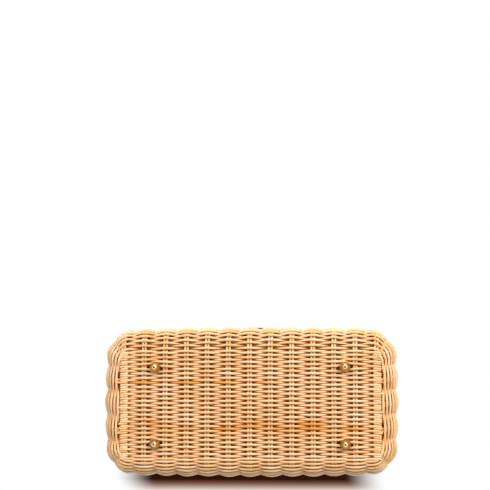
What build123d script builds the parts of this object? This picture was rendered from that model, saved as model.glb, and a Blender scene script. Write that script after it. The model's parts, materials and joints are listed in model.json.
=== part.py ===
from build123d import *
from math import cos, radians, sin, sqrt
import os

os.makedirs("parts", exist_ok=True)

# A woven rattan box bag standing on four turned feet. X runs along the bag, the front faces -Y and
# Z is up. The origin is on the ground under the middle of the bag. All sizes are in millimetres.

# Outline of the weave at its widest.
bag_length = 264.0
bag_width = 134.0
corner_radius = 24.0
long_bow = 3.0  # how far the middle of a long wall stands out past its ends
end_bow = 2.5  # the same for a short wall
weave_thickness = 6.0

# The flat woven panels of the base and the lid's top, and the rounding between panel and wall.
end_round = 14.5  # how far the rounding takes in each end of the bag
side_round = 19.75  # the same for each long side
panel_length = bag_length - 2 * end_round
panel_width = bag_width - 2 * side_round
panel_corner = 9.0
panel_bow = 0.4
edge_rise = 20.0
round_steps = 5
base_shift = 3.6  # how far the base panel and its feet lie behind the middle of the bag

# Heights.
foot_height = 9.0
body_height = 112.0
lid_height = 42.0
rim_height = 6.0
rim_overhang = 1.2
rim_round = 1.6
rim_gap = 0.3

# Boards and liners.
board_thickness = 4.0
board_clearance = 0.6
lining_gap = 1.0
lining_thickness = 1.2

# Feet.
foot_end_inset = 32.8
foot_side_inset = 13.25
foot_x = panel_length / 2 - foot_end_inset
foot_y = panel_width / 2 - foot_side_inset
foot_radius = 4.75
foot_flange = 1.3
foot_flutes = 20
flute_radius = 0.42
foot_dome_radius = 4.2
foot_ball_radius = 2.2
foot_neck_radius = 1.7
foot_flat_radius = 0.9
foot_bore_depth = 4.2

# Machine screws that hold the feet and the handle brackets, and their washers.
screw_radius = 1.45
screw_head_radius = 2.8
screw_head_height = 1.8
washer_radius = 6.0
washer_thickness = 0.8
thread_clearance = 0.05
screw_clearance = 0.25
counterbore_depth = washer_thickness + screw_head_height + 0.2
counterbore_radius = washer_radius + 0.5
screw_end_gap = 0.4

# Hinges.
hinge_end_inset = 57.0
hinge_x = bag_length / 2 - hinge_end_inset
leaf_width = 26.0
leaf_height = 18.0
leaf_thickness = 1.0
leaf_corner = 3.0
leaf_stand_off = 0.2
barrel_radius = 2.2
barrel_clearance = 0.4
knuckle_length = 8.0
knuckle_gap = 0.3
hinge_pin_radius = 1.1
hinge_pin_head_radius = 1.7
hinge_pin_head_height = 0.8
running_clearance = 0.08
fixed_clearance = 0.03

# Rivets through the wall.
rivet_radius = 1.2
rivet_hole_clearance = 0.15
rivet_head_radius = 2.5
rivet_head_height = 1.1
rivet_head_round = 0.88
rivet_tail_height = 0.6
rivet_tail_gap = 0.15
leaf_rivet_spacing = 14.0

# Handle.
handle_span = 120.0
handle_rise = 82.0  # lid top to the middle of the grip
handle_bend = 46.0
grip_radius = 5.5
grip_seat_clearance = 0.15
pivot_height = 10.0
handle_pin_radius = 1.5
handle_pin_head_radius = 2.3
handle_pin_head_height = 0.8
lug_thickness = 4.0
lug_radius = 4.2
ear_thickness = 2.4
ear_radius = 4.5
ear_gap = 0.3
ferrule_radius = 6.9
ferrule_length = 15.0
ferrule_floor = 3.0
ferrule_drop = 7.0
ferrule_round = 1.0
bracket_length = 30.0
bracket_width = 13.0
bracket_thickness = 3.0
bracket_corner = 5.0
bracket_screw_spacing = 20.0
bracket_thread_depth = 2.4

# Leather patches and the magnetic tab on the front.
patch_gap = 0.2
patch_thickness = 1.0
patch_width = 60.0
patch_corner = 8.0
front_patch_height = 32.0
lid_patch_height = 20.0
patch_rim_gap = 0.4
patch_rivet_inset = 6.0
tab_stand_off = 0.2
tab_thickness = 1.4
tab_width = 20.0
tab_head_width = 30.0
tab_head_height = 15.0
tab_head_corner = 4.0
tab_head_rise = 1.0
tab_drop = 29.0  # tab tip below the hinge line
tab_rivet_x = 8.0
magnet_radius = 5.5
magnet_clearance = 0.1
magnet_recess = 0.05
magnet_cap_radius = 7.0
magnet_cap_height = 0.5
plate_round = 0.3

# Levels worked out from the sizes above.
base_level = foot_height
body_seat = base_level + body_height
body_mouth = body_seat + rim_height
lid_mouth = body_mouth + rim_gap
lid_seat = lid_mouth + rim_height
lid_top = lid_seat + lid_height
board_level = weave_thickness + board_thickness
lining_inset = weave_thickness + lining_gap
hinge_level = (body_mouth + lid_mouth) / 2
pivot_level = lid_top + pivot_height


def wall_y(x, inset=0.0):
    """Distance of a long wall's face from the middle of the bag, at a place along the bag."""
    half_chord = bag_length / 2 - inset - end_bow
    bow_radius = (half_chord**2 + long_bow**2) / (2 * long_bow)
    return bag_width / 2 - inset - bow_radius + sqrt(bow_radius**2 - x**2)


def plan_outline(level, length, width, corner, bow_y, bow_x):
    """A rounded rectangle with bowed sides, lying at a level."""
    x = length / 2 - bow_x
    y = width / 2 - bow_y
    with BuildSketch(Plane.XY.offset(level)) as plan:
        with BuildLine():
            ThreePointArc((-x, -y), (0, -width / 2), (x, -y))
            ThreePointArc((x, -y), (length / 2, 0), (x, y))
            ThreePointArc((x, y), (0, width / 2), (-x, y))
            ThreePointArc((-x, y), (-length / 2, 0), (-x, -y))
        make_face()
        fillet(plan.vertices(), corner)
    return plan.sketch


def wall_outline(level, inset):
    """The bag's outline at its widest, taken in by an inset."""
    return plan_outline(
        level, bag_length - 2 * inset, bag_width - 2 * inset, corner_radius - inset, long_bow, end_bow
    )


def basket_block(panel_level, up, shift, floor_inset, side_inset, height):
    """The solid inside a basket's surface: a flat panel set back by a shift, a rounding, an upright wall."""
    rise = edge_rise - floor_inset
    sections = []
    for step in range(round_steps + 1):
        turn = radians(90 * step / round_steps)
        spread = sin(turn)
        section = plan_outline(
            panel_level + up * (floor_inset + rise * (1 - cos(turn))),
            panel_length + (bag_length - 2 * side_inset - panel_length) * spread,
            panel_width + (bag_width - 2 * side_inset - panel_width) * spread,
            panel_corner + (corner_radius - side_inset - panel_corner) * spread,
            panel_bow + (long_bow - panel_bow) * spread,
            panel_bow + (end_bow - panel_bow) * spread,
        )
        sections.append(section.moved(Location((0, shift * (1 - spread), 0))))
    with BuildPart() as block:
        loft(sections=sections)
        extrude(sections[-1], amount=height - edge_rise, dir=(0, 0, up))
    return block.part


def basket_shell(panel_level, up, shift, height):
    """The weave of the body (up = 1) or of the lid (up = -1)."""
    outer = basket_block(panel_level, up, shift, 0, 0, height)
    inner = basket_block(panel_level, up, shift, weave_thickness, weave_thickness, height + 1)
    with BuildPart() as shell:
        add(outer)
        add(inner, mode=Mode.SUBTRACT)
    return shell.part


def lining_shell(panel_level, up, shift, height):
    """The thin liner that stands on the board and ends under the rim."""
    outer = basket_block(panel_level, up, shift, board_level, lining_inset, height)
    floor_inset = board_level + lining_thickness
    side_inset = lining_inset + lining_thickness
    inner = basket_block(panel_level, up, shift, floor_inset, side_inset, height + 1)
    with BuildPart() as lining:
        add(outer)
        add(inner, mode=Mode.SUBTRACT)
    return lining.part


def rim_ring(level):
    """The border round a mouth, a rounded band that stands a little proud of the weave."""
    outer = wall_outline(level, -rim_overhang)
    inner = wall_outline(level, weave_thickness + rim_overhang)
    with BuildPart() as ring:
        extrude(outer, amount=rim_height)
        extrude(inner, amount=rim_height, mode=Mode.SUBTRACT)
        flat_faces = ring.faces().filter_by(Axis.Z)
        fillet(flat_faces.edges(), rim_round)
    return ring.part


def board(panel_level, up, shift, screw_places):
    """A stiff board on the inside of a flat panel, with a seat for each screw."""
    outline = plan_outline(
        panel_level + up * weave_thickness,
        panel_length - 2 * board_clearance,
        panel_width - 2 * board_clearance,
        panel_corner,
        panel_bow,
        panel_bow,
    )
    face_up = Plane((0, 0, panel_level + up * board_level), z_dir=(0, 0, up))
    with BuildPart() as plate:
        extrude(outline.moved(Location((0, shift, 0))), amount=board_thickness, dir=(0, 0, up))
        for x, y in screw_places:
            place = face_up.to_local_coords(Vector(x, y, 0))
            with BuildSketch(face_up) as seat:
                with Locations((place.X, place.Y)):
                    Circle(counterbore_radius)
            extrude(seat.sketch, amount=-counterbore_depth, mode=Mode.SUBTRACT)
            with BuildSketch(face_up) as bore:
                with Locations((place.X, place.Y)):
                    Circle(screw_radius + screw_clearance)
            extrude(bore.sketch, amount=-board_thickness, mode=Mode.SUBTRACT)
    return plate.part


def disc(plane, radius, height):
    """A round bar from a plane's origin along its normal."""
    with BuildPart() as bar:
        with BuildSketch(plane):
            Circle(radius)
        extrude(amount=height)
    return bar.part


def save(part, name):
    part.label = name
    export_step(part, f"parts/{name}.step")


foot_places = [(x, base_shift + y) for y in (-foot_y, foot_y) for x in (-foot_x, foot_x)]
bracket_places = [
    (side * handle_span / 2 + offset, 0)
    for side in (-1, 1)
    for offset in (-bracket_screw_spacing / 2, bracket_screw_spacing / 2)
]

# The planes of what is fixed to the walls' outsides.
leaf_plane_y = wall_y(hinge_x - leaf_width / 2, -rim_overhang) + leaf_stand_off
hinge_y = leaf_plane_y + barrel_radius
leaf_start = barrel_radius + barrel_clearance
tab_plane_y = bag_width / 2 + patch_gap + patch_thickness + tab_stand_off
tab_face = tab_plane_y + tab_thickness
tab_tip_level = hinge_level - tab_drop
magnet_level = tab_tip_level + tab_width / 2
front_patch_top = body_seat - patch_rim_gap
front_patch_bottom = front_patch_top - front_patch_height
lid_patch_bottom = lid_seat + patch_rim_gap
lid_patch_top = lid_patch_bottom + lid_patch_height
tab_head_bottom = lid_patch_bottom + tab_head_rise

# Each rivet: place along the bag, level, side of the bag (1 back, -1 front), face under its head.
leaf_rivet_x = [
    side * hinge_x + offset
    for side in (-1, 1)
    for offset in (-leaf_rivet_spacing / 2, leaf_rivet_spacing / 2)
]
leaf_face = leaf_plane_y + leaf_thickness
leaf_middle = leaf_start + leaf_height / 2
body_hinge_rivets = [(x, hinge_level - leaf_middle, 1, leaf_face) for x in leaf_rivet_x]
lid_hinge_rivets = [(x, hinge_level + leaf_middle, 1, leaf_face) for x in leaf_rivet_x]
patch_rivet_x = patch_width / 2 - patch_rivet_inset
patch_face = wall_y(patch_rivet_x - rivet_head_radius, -patch_gap - patch_thickness)
patch_rivets = [
    (side * patch_rivet_x, level, -1, patch_face)
    for side in (-1, 1)
    for level in (front_patch_bottom + patch_rivet_inset, front_patch_top - patch_rivet_inset)
]
tab_rivet_level = tab_head_bottom + tab_head_height / 2
tab_rivets = [(side * tab_rivet_x, tab_rivet_level, -1, tab_face) for side in (-1, 1)]
lid_rivets = tab_rivets + [(side * patch_rivet_x, tab_rivet_level, -1, patch_face) for side in (-1, 1)]
catch_place = (0, magnet_level, -1, bag_width / 2 + patch_gap)


def rivet_hole(place):
    """The hole that a rivet needs through everything it holds."""
    x, level, side, face = place
    plane = Plane((x, side * (wall_y(x, weave_thickness) - 1), level), z_dir=(0, side, 0))
    return disc(plane, rivet_radius + rivet_hole_clearance, face - wall_y(x, weave_thickness) + 2)


def rivet_solid(place, head_radius, head_height, head_round):
    """A rounded head outside, a shank through the wall and a flat tail inside."""
    x, level, side, face = place
    inside = wall_y(x, weave_thickness) - rivet_tail_gap
    head_plane = Plane((x, side * face, level), z_dir=(0, side, 0))
    tail_plane = Plane((x, side * inside, level), z_dir=(0, -side, 0))
    with BuildPart() as rivet:
        with BuildSketch(head_plane):
            Circle(head_radius)
        extrude(amount=head_height)
        fillet(rivet.faces().sort_by(Axis.Y)[-1 if side > 0 else 0].edges(), head_round)
        add(disc(head_plane, rivet_radius, -(face - inside)))
        add(disc(tail_plane, rivet_head_radius, rivet_tail_height))
    return rivet.part


def screw_hole(x, y, panel_level, up):
    plane = Plane((x, y, panel_level - up), z_dir=(0, 0, up))
    return disc(plane, screw_radius + screw_clearance, weave_thickness + 2)


def screw_solid(x, y, panel_level, up, reach):
    """A pan-head screw on its washer, going out through board and weave by a reach."""
    under_head = panel_level + up * (board_level - counterbore_depth + washer_thickness)
    length = board_level - counterbore_depth + washer_thickness + reach
    with BuildPart() as screw:
        add(disc(Plane((x, y, under_head), z_dir=(0, 0, up)), screw_head_radius, screw_head_height))
        add(disc(Plane((x, y, under_head), z_dir=(0, 0, -up)), screw_radius, length))
    return screw.part


def washer_solid(x, y, panel_level, up):
    seat = Plane((x, y, panel_level + up * (board_level - counterbore_depth)), z_dir=(0, 0, up))
    with BuildPart() as washer:
        with BuildSketch(seat):
            Circle(washer_radius)
            Circle(screw_radius + screw_clearance, mode=Mode.SUBTRACT)
        extrude(amount=washer_thickness)
    return washer.part


# The woven body and lid.
body_shell = basket_shell(base_level, 1, base_shift, body_height)
with BuildPart() as wicker_body:
    add(body_shell)
    for x, y in foot_places:
        add(screw_hole(x, y, base_level, 1), mode=Mode.SUBTRACT)
    for place in body_hinge_rivets + patch_rivets + [catch_place]:
        add(rivet_hole(place), mode=Mode.SUBTRACT)
save(wicker_body.part, "wicker_body")

lid_shell = basket_shell(lid_top, -1, 0, lid_height)
with BuildPart() as wicker_lid:
    add(lid_shell)
    for x, y in bracket_places:
        add(screw_hole(x, y, lid_top, -1), mode=Mode.SUBTRACT)
    for place in lid_hinge_rivets + lid_rivets:
        add(rivet_hole(place), mode=Mode.SUBTRACT)
save(wicker_lid.part, "wicker_lid")

save(rim_ring(body_seat), "body_rim")
save(rim_ring(lid_mouth), "lid_rim")
save(board(base_level, 1, base_shift, foot_places), "base_board")
save(board(lid_top, -1, 0, bracket_places), "lid_board")
save(lining_shell(base_level, 1, base_shift, body_height), "body_lining")
save(lining_shell(lid_top, -1, 0, lid_height), "lid_lining")

# The turned feet: a ball on a dome, with a fluted flange against the weave.
ball_level = sqrt(foot_ball_radius**2 - foot_flat_radius**2)
neck_level = ball_level + sqrt(foot_ball_radius**2 - foot_neck_radius**2)
dome_start = (foot_neck_radius + 0.4, neck_level + 0.5)
flange_level = foot_height - foot_flange
for (x, y), name in zip(foot_places, ("front_left", "front_right", "back_left", "back_right")):
    with BuildPart() as foot:
        with BuildSketch(Plane.XZ):
            with BuildLine():
                Line((0, 0), (foot_flat_radius, 0))
                ThreePointArc(
                    (foot_flat_radius, 0), (foot_ball_radius, ball_level), (foot_neck_radius, neck_level)
                )
                Line((foot_neck_radius, neck_level), dome_start)
                RadiusArc(dome_start, (foot_dome_radius, flange_level), -foot_radius)
                Line((foot_dome_radius, flange_level), (foot_radius, flange_level))
                Line((foot_radius, flange_level), (foot_radius, foot_height))
                Line((foot_radius, foot_height), (0, foot_height))
                Line((0, foot_height), (0, 0))
            make_face()
        revolve(axis=Axis.Z)
        with BuildSketch(Plane.XY.offset(flange_level)):
            with PolarLocations(foot_radius + flute_radius / 3, foot_flutes):
                Circle(flute_radius)
        extrude(amount=foot_flange, mode=Mode.SUBTRACT)
        with BuildSketch(Plane.XY.offset(foot_height)):
            Circle(screw_radius + thread_clearance)
        extrude(amount=-foot_bore_depth, mode=Mode.SUBTRACT)
    save(foot.part.moved(Location((x, y, 0))), f"foot_{name}")

# Screws and washers of the feet and of the handle brackets, each kind one group of solids.
for name, places, panel_level, up, reach in (
    ("foot", foot_places, base_level, 1, foot_bore_depth - screw_end_gap),
    ("handle", bracket_places, lid_top, -1, bracket_thread_depth - screw_end_gap),
):
    with BuildPart() as screws:
        for x, y in places:
            add(screw_solid(x, y, panel_level, up, reach))
    save(screws.part, f"{name}_screws")
    with BuildPart() as washers:
        for x, y in places:
            add(washer_solid(x, y, panel_level, up))
    save(washers.part, f"{name}_washers")

# Rivets, one group for each thing they hold.
for name, places in (
    ("hinge_rivets_body", body_hinge_rivets),
    ("hinge_rivets_lid", lid_hinge_rivets),
    ("patch_rivets", patch_rivets),
    ("lid_rivets", lid_rivets),
):
    with BuildPart() as rivets:
        for place in places:
            add(rivet_solid(place, rivet_head_radius, rivet_head_height, rivet_head_round))
    save(rivets.part, name)
save(rivet_solid(catch_place, magnet_radius, patch_thickness, plate_round), "catch_plate")


def hinge_leaf(centre_x, up, knuckles, bore_radius):
    """A leaf on the back wall with its knuckles, below (up = -1) or above (up = 1) the pin."""
    back = Plane(
        (centre_x, leaf_plane_y, hinge_level + up * leaf_middle), x_dir=(1, 0, 0), z_dir=(0, 1, 0)
    )
    with BuildPart() as leaf:
        with BuildSketch(back):
            RectangleRounded(leaf_width, leaf_height, leaf_corner)
            with Locations((-leaf_rivet_spacing / 2, 0), (leaf_rivet_spacing / 2, 0)):
                Circle(rivet_radius + rivet_hole_clearance, mode=Mode.SUBTRACT)
        extrude(amount=leaf_thickness)
        for start, end in knuckles:
            side = Plane((centre_x + start, hinge_y, hinge_level), x_dir=(0, 1, 0), z_dir=(1, 0, 0))
            with BuildSketch(side):
                Circle(barrel_radius)
                with Locations((-barrel_radius + leaf_thickness / 2, up * (leaf_start + leaf_corner) / 2)):
                    Rectangle(leaf_thickness, leaf_start + leaf_corner)
                Circle(bore_radius, mode=Mode.SUBTRACT)
            extrude(amount=end - start)
    return leaf.part


outer_end = leaf_width / 2
inner_end = outer_end - knuckle_length
side_knuckles = [(-outer_end, -inner_end), (inner_end, outer_end)]
middle_knuckle = [(-inner_end + knuckle_gap, inner_end - knuckle_gap)]
for side, name in ((-1, "left"), (1, "right")):
    centre_x = side * hinge_x
    body_leaf = hinge_leaf(centre_x, -1, side_knuckles, hinge_pin_radius + fixed_clearance)
    lid_leaf = hinge_leaf(centre_x, 1, middle_knuckle, hinge_pin_radius + running_clearance)
    save(body_leaf, f"hinge_{name}_body_leaf")
    save(lid_leaf, f"hinge_{name}_lid_leaf")
    pin_start = Plane((centre_x - outer_end, hinge_y, hinge_level), z_dir=(1, 0, 0))
    pin_end = Plane((centre_x + outer_end, hinge_y, hinge_level), z_dir=(1, 0, 0))
    with BuildPart() as hinge_pin:
        add(disc(pin_start, hinge_pin_radius, leaf_width))
        add(disc(pin_start, hinge_pin_head_radius, -hinge_pin_head_height))
        add(disc(pin_end, hinge_pin_head_radius, hinge_pin_head_height))
    save(hinge_pin.part, f"hinge_{name}_pin")

# The rolled leather grip: an arch whose legs stand in the ferrules.
grip_foot = pivot_level + ferrule_drop + ferrule_floor
grip_crown = lid_top + handle_rise
with BuildPart() as handle_grip:
    with BuildLine() as arch:
        FilletPolyline(
            (-handle_span / 2, 0, grip_foot),
            (-handle_span / 2, 0, grip_crown),
            (handle_span / 2, 0, grip_crown),
            (handle_span / 2, 0, grip_foot),
            radius=handle_bend,
        )
    with BuildSketch(Plane((-handle_span / 2, 0, grip_foot))):
        Circle(grip_radius)
    sweep(path=arch.line)
save(handle_grip.part, "handle_grip")

# Each end of the handle: a ferrule with a lug, held by a pin between the ears of a bracket.
for side, name in ((-1, "left"), (1, "right")):
    x = side * handle_span / 2
    with BuildPart() as handle_end:
        with BuildSketch(Plane((x, 0, pivot_level + ferrule_drop))):
            Circle(ferrule_radius)
        extrude(amount=ferrule_length)
        ferrule_ends = handle_end.faces().filter_by(Axis.Z)
        fillet(ferrule_ends.edges(), ferrule_round)
        with BuildSketch(Plane((x - lug_thickness / 2, 0, pivot_level), x_dir=(0, 1, 0), z_dir=(1, 0, 0))):
            Circle(lug_radius)
            with Locations((0, (ferrule_drop + ferrule_round) / 2)):
                Rectangle(2 * lug_radius, ferrule_drop + ferrule_round)
            Circle(handle_pin_radius + running_clearance, mode=Mode.SUBTRACT)
        extrude(amount=lug_thickness)
        with BuildSketch(Plane((x, 0, pivot_level + ferrule_drop + ferrule_floor))):
            Circle(grip_radius + grip_seat_clearance)
        extrude(amount=ferrule_length, mode=Mode.SUBTRACT)
    save(handle_end.part, f"handle_end_{name}")

    ear_inside = lug_thickness / 2 + ear_gap
    with BuildPart() as bracket:
        with BuildSketch(Plane((x, 0, lid_top))):
            RectangleRounded(bracket_length, bracket_width, bracket_corner)
        extrude(amount=bracket_thickness)
        for ear_start in (-ear_inside - ear_thickness, ear_inside):
            with BuildSketch(Plane((x + ear_start, 0, pivot_level), x_dir=(0, 1, 0), z_dir=(1, 0, 0))):
                Circle(ear_radius)
                with Locations((0, -(pivot_height - bracket_thickness / 2) / 2)):
                    Rectangle(2 * ear_radius, pivot_height - bracket_thickness / 2)
                Circle(handle_pin_radius + fixed_clearance, mode=Mode.SUBTRACT)
            extrude(amount=ear_thickness)
        with BuildSketch(Plane((x, 0, lid_top))):
            with Locations((-bracket_screw_spacing / 2, 0), (bracket_screw_spacing / 2, 0)):
                Circle(screw_radius + thread_clearance)
        extrude(amount=bracket_thread_depth, mode=Mode.SUBTRACT)
    save(bracket.part, f"handle_bracket_{name}")

    pin_reach = ear_inside + ear_thickness + ear_gap
    near_end = Plane((x - pin_reach, 0, pivot_level), z_dir=(1, 0, 0))
    far_end = Plane((x + pin_reach, 0, pivot_level), z_dir=(1, 0, 0))
    with BuildPart() as handle_pin:
        add(disc(near_end, handle_pin_radius, 2 * pin_reach))
        add(disc(near_end, handle_pin_head_radius, -handle_pin_head_height))
        add(disc(far_end, handle_pin_head_radius, handle_pin_head_height))
    save(handle_pin.part, f"handle_pin_{name}")


def leather_patch(low, high, rounded_end, rivets, seats):
    """A leather patch that follows the front wall, rounded at its bottom (0) or its top (-1)."""
    outer = wall_outline(low, -patch_gap - patch_thickness)
    inner = wall_outline(low, -patch_gap)
    with BuildPart() as patch:
        extrude(outer, amount=high - low)
        extrude(inner, amount=high - low, mode=Mode.SUBTRACT)
        with BuildSketch(Plane.XZ) as face:
            with Locations((0, (low + high) / 2)):
                Rectangle(patch_width, high - low)
            fillet(face.vertices().group_by(Axis.Y)[rounded_end], patch_corner)
        extrude(amount=bag_width, mode=Mode.INTERSECT)
        for place in rivets:
            add(rivet_hole(place), mode=Mode.SUBTRACT)
        for x, level, *_ in seats:
            seat_plane = Plane((x, 0, level), z_dir=(0, -1, 0))
            add(disc(seat_plane, magnet_radius + magnet_clearance, bag_width), mode=Mode.SUBTRACT)
    return patch.part


front_patch = leather_patch(front_patch_bottom, front_patch_top, 0, patch_rivets, [catch_place])
save(front_patch, "front_patch")
save(leather_patch(lid_patch_bottom, lid_patch_top, -1, lid_rivets, []), "lid_patch")

# The leather tab seen from the front: X to the right, Z up, built outwards from its back.
tab_plane = Plane((0, -tab_plane_y, 0), x_dir=(1, 0, 0), z_dir=(0, -1, 0))
with BuildPart() as closure_tab:
    with BuildSketch(tab_plane):
        with Locations((0, tab_rivet_level)):
            RectangleRounded(tab_head_width, tab_head_height, tab_head_corner)
        with Locations((0, (magnet_level + tab_rivet_level) / 2)):
            Rectangle(tab_width, tab_rivet_level - magnet_level)
        with Locations((0, magnet_level)):
            Circle(tab_width / 2)
            Circle(magnet_radius + magnet_clearance, mode=Mode.SUBTRACT)
        for rivet_x, level, *_ in tab_rivets:
            with Locations((rivet_x, level)):
                Circle(rivet_radius + rivet_hole_clearance, mode=Mode.SUBTRACT)
    extrude(amount=tab_thickness)
save(closure_tab.part, "closure_tab")

# The magnet in the tab's tip, with the cap that holds it.
with BuildPart() as tab_magnet:
    with BuildSketch(tab_plane.offset(magnet_recess)):
        with Locations((0, magnet_level)):
            Circle(magnet_radius)
    extrude(amount=tab_thickness - magnet_recess)
    with BuildSketch(tab_plane.offset(tab_thickness)):
        with Locations((0, magnet_level)):
            Circle(magnet_cap_radius)
    extrude(amount=magnet_cap_height)
    fillet(tab_magnet.faces().sort_by(Axis.Y)[0].edges(), plate_round)
save(tab_magnet.part, "tab_magnet")
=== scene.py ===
import json
import math

import bmesh
import bpy
import numpy as np
from mathutils import Matrix, Vector


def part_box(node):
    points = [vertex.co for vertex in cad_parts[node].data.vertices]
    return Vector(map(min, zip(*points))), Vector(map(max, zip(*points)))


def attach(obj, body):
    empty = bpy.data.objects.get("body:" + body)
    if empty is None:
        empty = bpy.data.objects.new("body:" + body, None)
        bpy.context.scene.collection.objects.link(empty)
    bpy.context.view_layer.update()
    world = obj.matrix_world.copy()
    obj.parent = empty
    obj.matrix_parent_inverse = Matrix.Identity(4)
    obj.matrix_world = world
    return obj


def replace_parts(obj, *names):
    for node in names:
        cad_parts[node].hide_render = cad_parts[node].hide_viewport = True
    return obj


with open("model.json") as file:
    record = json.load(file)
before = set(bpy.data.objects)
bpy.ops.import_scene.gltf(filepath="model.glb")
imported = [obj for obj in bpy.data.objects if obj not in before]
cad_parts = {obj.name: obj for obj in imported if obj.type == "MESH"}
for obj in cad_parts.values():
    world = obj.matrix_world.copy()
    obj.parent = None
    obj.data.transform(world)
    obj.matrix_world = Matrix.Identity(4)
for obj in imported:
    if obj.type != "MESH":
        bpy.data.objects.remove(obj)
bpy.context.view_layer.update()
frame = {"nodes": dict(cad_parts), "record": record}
nodes = frame["nodes"]
millimetre = 0.001
print("frame loaded:", len(nodes), "nodes")

feet = ["foot_front_left", "foot_front_right", "foot_back_left", "foot_back_right"]


def middleOf(node):
    lowest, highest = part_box(node)
    return (lowest + highest) / 2


frontFoot, backFoot = middleOf("foot_front_right"), middleOf("foot_back_right")
footMiddle = (frontFoot.y + backFoot.y) / 2


def setInputs(node, inputs):
    # sockets are linked and plain values are set
    for key, value in inputs.items():
        if isinstance(value, bpy.types.NodeSocket):
            node.id_data.links.new(value, node.inputs[key])
        else:
            node.inputs[key].default_value = value


def put(tree, kind, inputs=None, **settings):
    node = tree.nodes.new(kind)
    for key, value in settings.items():
        setattr(node, key, value)
    setInputs(node, inputs or {})
    return node


def treeOf(values):
    # the tree that a sum or a colour belongs to is the one its first socket is in
    return next(value.id_data for value in values if isinstance(value, bpy.types.NodeSocket))


def calc(operation, *values):
    return put(treeOf(values), "ShaderNodeMath", dict(enumerate(values)), operation=operation).outputs[0]


def plus(first, second):
    return calc("ADD", first, second)


def minus(first, second):
    return calc("SUBTRACT", first, second)


def times(first, second):
    return calc("MULTIPLY", first, second)


def vectorCalc(operation, *values, out=0):
    node = put(treeOf(values), "ShaderNodeVectorMath", dict(enumerate(values)), operation=operation)
    return node.outputs[out]


def scaled(value, factor):
    inputs = {0: value, "Scale": factor}
    return put(value.id_data, "ShaderNodeVectorMath", inputs, operation="SCALE").outputs[0]


def point(*axes):
    return put(treeOf(axes), "ShaderNodeCombineXYZ", dict(enumerate(axes))).outputs[0]


def axesOf(value):
    return put(value.id_data, "ShaderNodeSeparateXYZ", {0: value}).outputs


def ranged(value, low, high, newLow=0.0, newHigh=1.0, **settings):
    inputs = {0: value, 1: low, 2: high, 3: newLow, 4: newHigh}
    return put(value.id_data, "ShaderNodeMapRange", inputs, **settings).outputs[0]


def noise(place, scale, detail, output=0):
    inputs = {"Vector": place, "Scale": scale, "Detail": detail}
    return put(place.id_data, "ShaderNodeTexNoise", inputs).outputs[output]


def kept(tree, name, kind="FLOAT"):
    return put(tree, "GeometryNodeInputNamedAttribute", {"Name": name}, data_type=kind).outputs["Attribute"]


def keptVector(tree, name):
    return kept(tree, name, "FLOAT_VECTOR")


def stored(geometry, name, value, kind="FLOAT"):
    inputs = {"Geometry": geometry, "Name": name, "Value": value}
    return put(geometry.id_data, "GeometryNodeStoreNamedAttribute", inputs, data_type=kind).outputs[0]


def moved(geometry, **inputs):
    return put(geometry.id_data, "GeometryNodeSetPosition", {"Geometry": geometry, **inputs}).outputs[0]


def newTree(name, inputs):
    # inputs: name -> (socket type, default); a guide and a material go in too, and a geometry comes out
    tree = bpy.data.node_groups.new(name, "GeometryNodeTree")
    tree.interface.new_socket("Geometry", in_out="INPUT", socket_type="NodeSocketGeometry")
    for label, (kind, default) in inputs.items():
        tree.interface.new_socket(label, in_out="INPUT", socket_type=kind).default_value = default
    tree.interface.new_socket("Material", in_out="INPUT", socket_type="NodeSocketMaterial")
    tree.interface.new_socket("Geometry", in_out="OUTPUT", socket_type="NodeSocketGeometry")
    return tree, tree.nodes.new("NodeGroupInput").outputs


def closeTree(geometry, given):
    # every tree ends the same way: smooth, realized, with its material
    tree = geometry.id_data
    smooth = put(tree, "GeometryNodeSetShadeSmooth", {"Geometry": geometry}).outputs[0]
    real = put(tree, "GeometryNodeRealizeInstances", {"Geometry": smooth}).outputs[0]
    painted = put(tree, "GeometryNodeSetMaterial", {"Geometry": real, "Material": given["Material"]})
    put(tree, "NodeGroupOutput", {"Geometry": painted.outputs[0]})
    return tree


def guideCurve(given):
    return put(given["Geometry"].id_data, "GeometryNodeMeshToCurve", {0: given["Geometry"]}).outputs[0]


def rodMesh(curve, radius, sides):
    # a round rod along a curve; "skin" keeps the place round the rod for the grain
    tree = curve.id_data
    ring = put(tree, "GeometryNodeCurvePrimitiveCircle", {"Resolution": sides, "Radius": 1.0}, mode="RADIUS")
    place = put(tree, "GeometryNodeInputPosition").outputs[0]
    skin = stored(ring.outputs[0], "skin", place, "FLOAT_VECTOR")
    inputs = {"Curve": curve, "Profile Curve": skin, "Scale": radius, "Fill Caps": True}
    return put(tree, "GeometryNodeCurveToMesh", inputs).outputs[0]


def linked(name, data):
    thing = bpy.data.objects.new(name, data)
    bpy.context.scene.collection.objects.link(thing)
    return thing


def grow(name, guide, tree, values, body):
    # runs a tree on a guide mesh and keeps the result as a plain mesh that rides on a body
    piece = linked(name, guide)
    modifier = piece.modifiers.new("grow", "NODES")
    modifier.node_group = tree
    for item in tree.interface.items_tree:
        if item.in_out == "INPUT" and item.name in values:
            modifier[item.identifier] = values[item.name]
    graph = bpy.context.evaluated_depsgraph_get()
    graph.update()
    mesh = bpy.data.meshes.new_from_object(
        piece.evaluated_get(graph), preserve_all_data_layers=True, depsgraph=graph
    )
    piece.modifiers.remove(modifier)
    piece.data = mesh
    mesh.name = name
    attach(piece, body)
    print(name, "faces:", len(mesh.polygons))
    return piece


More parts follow.
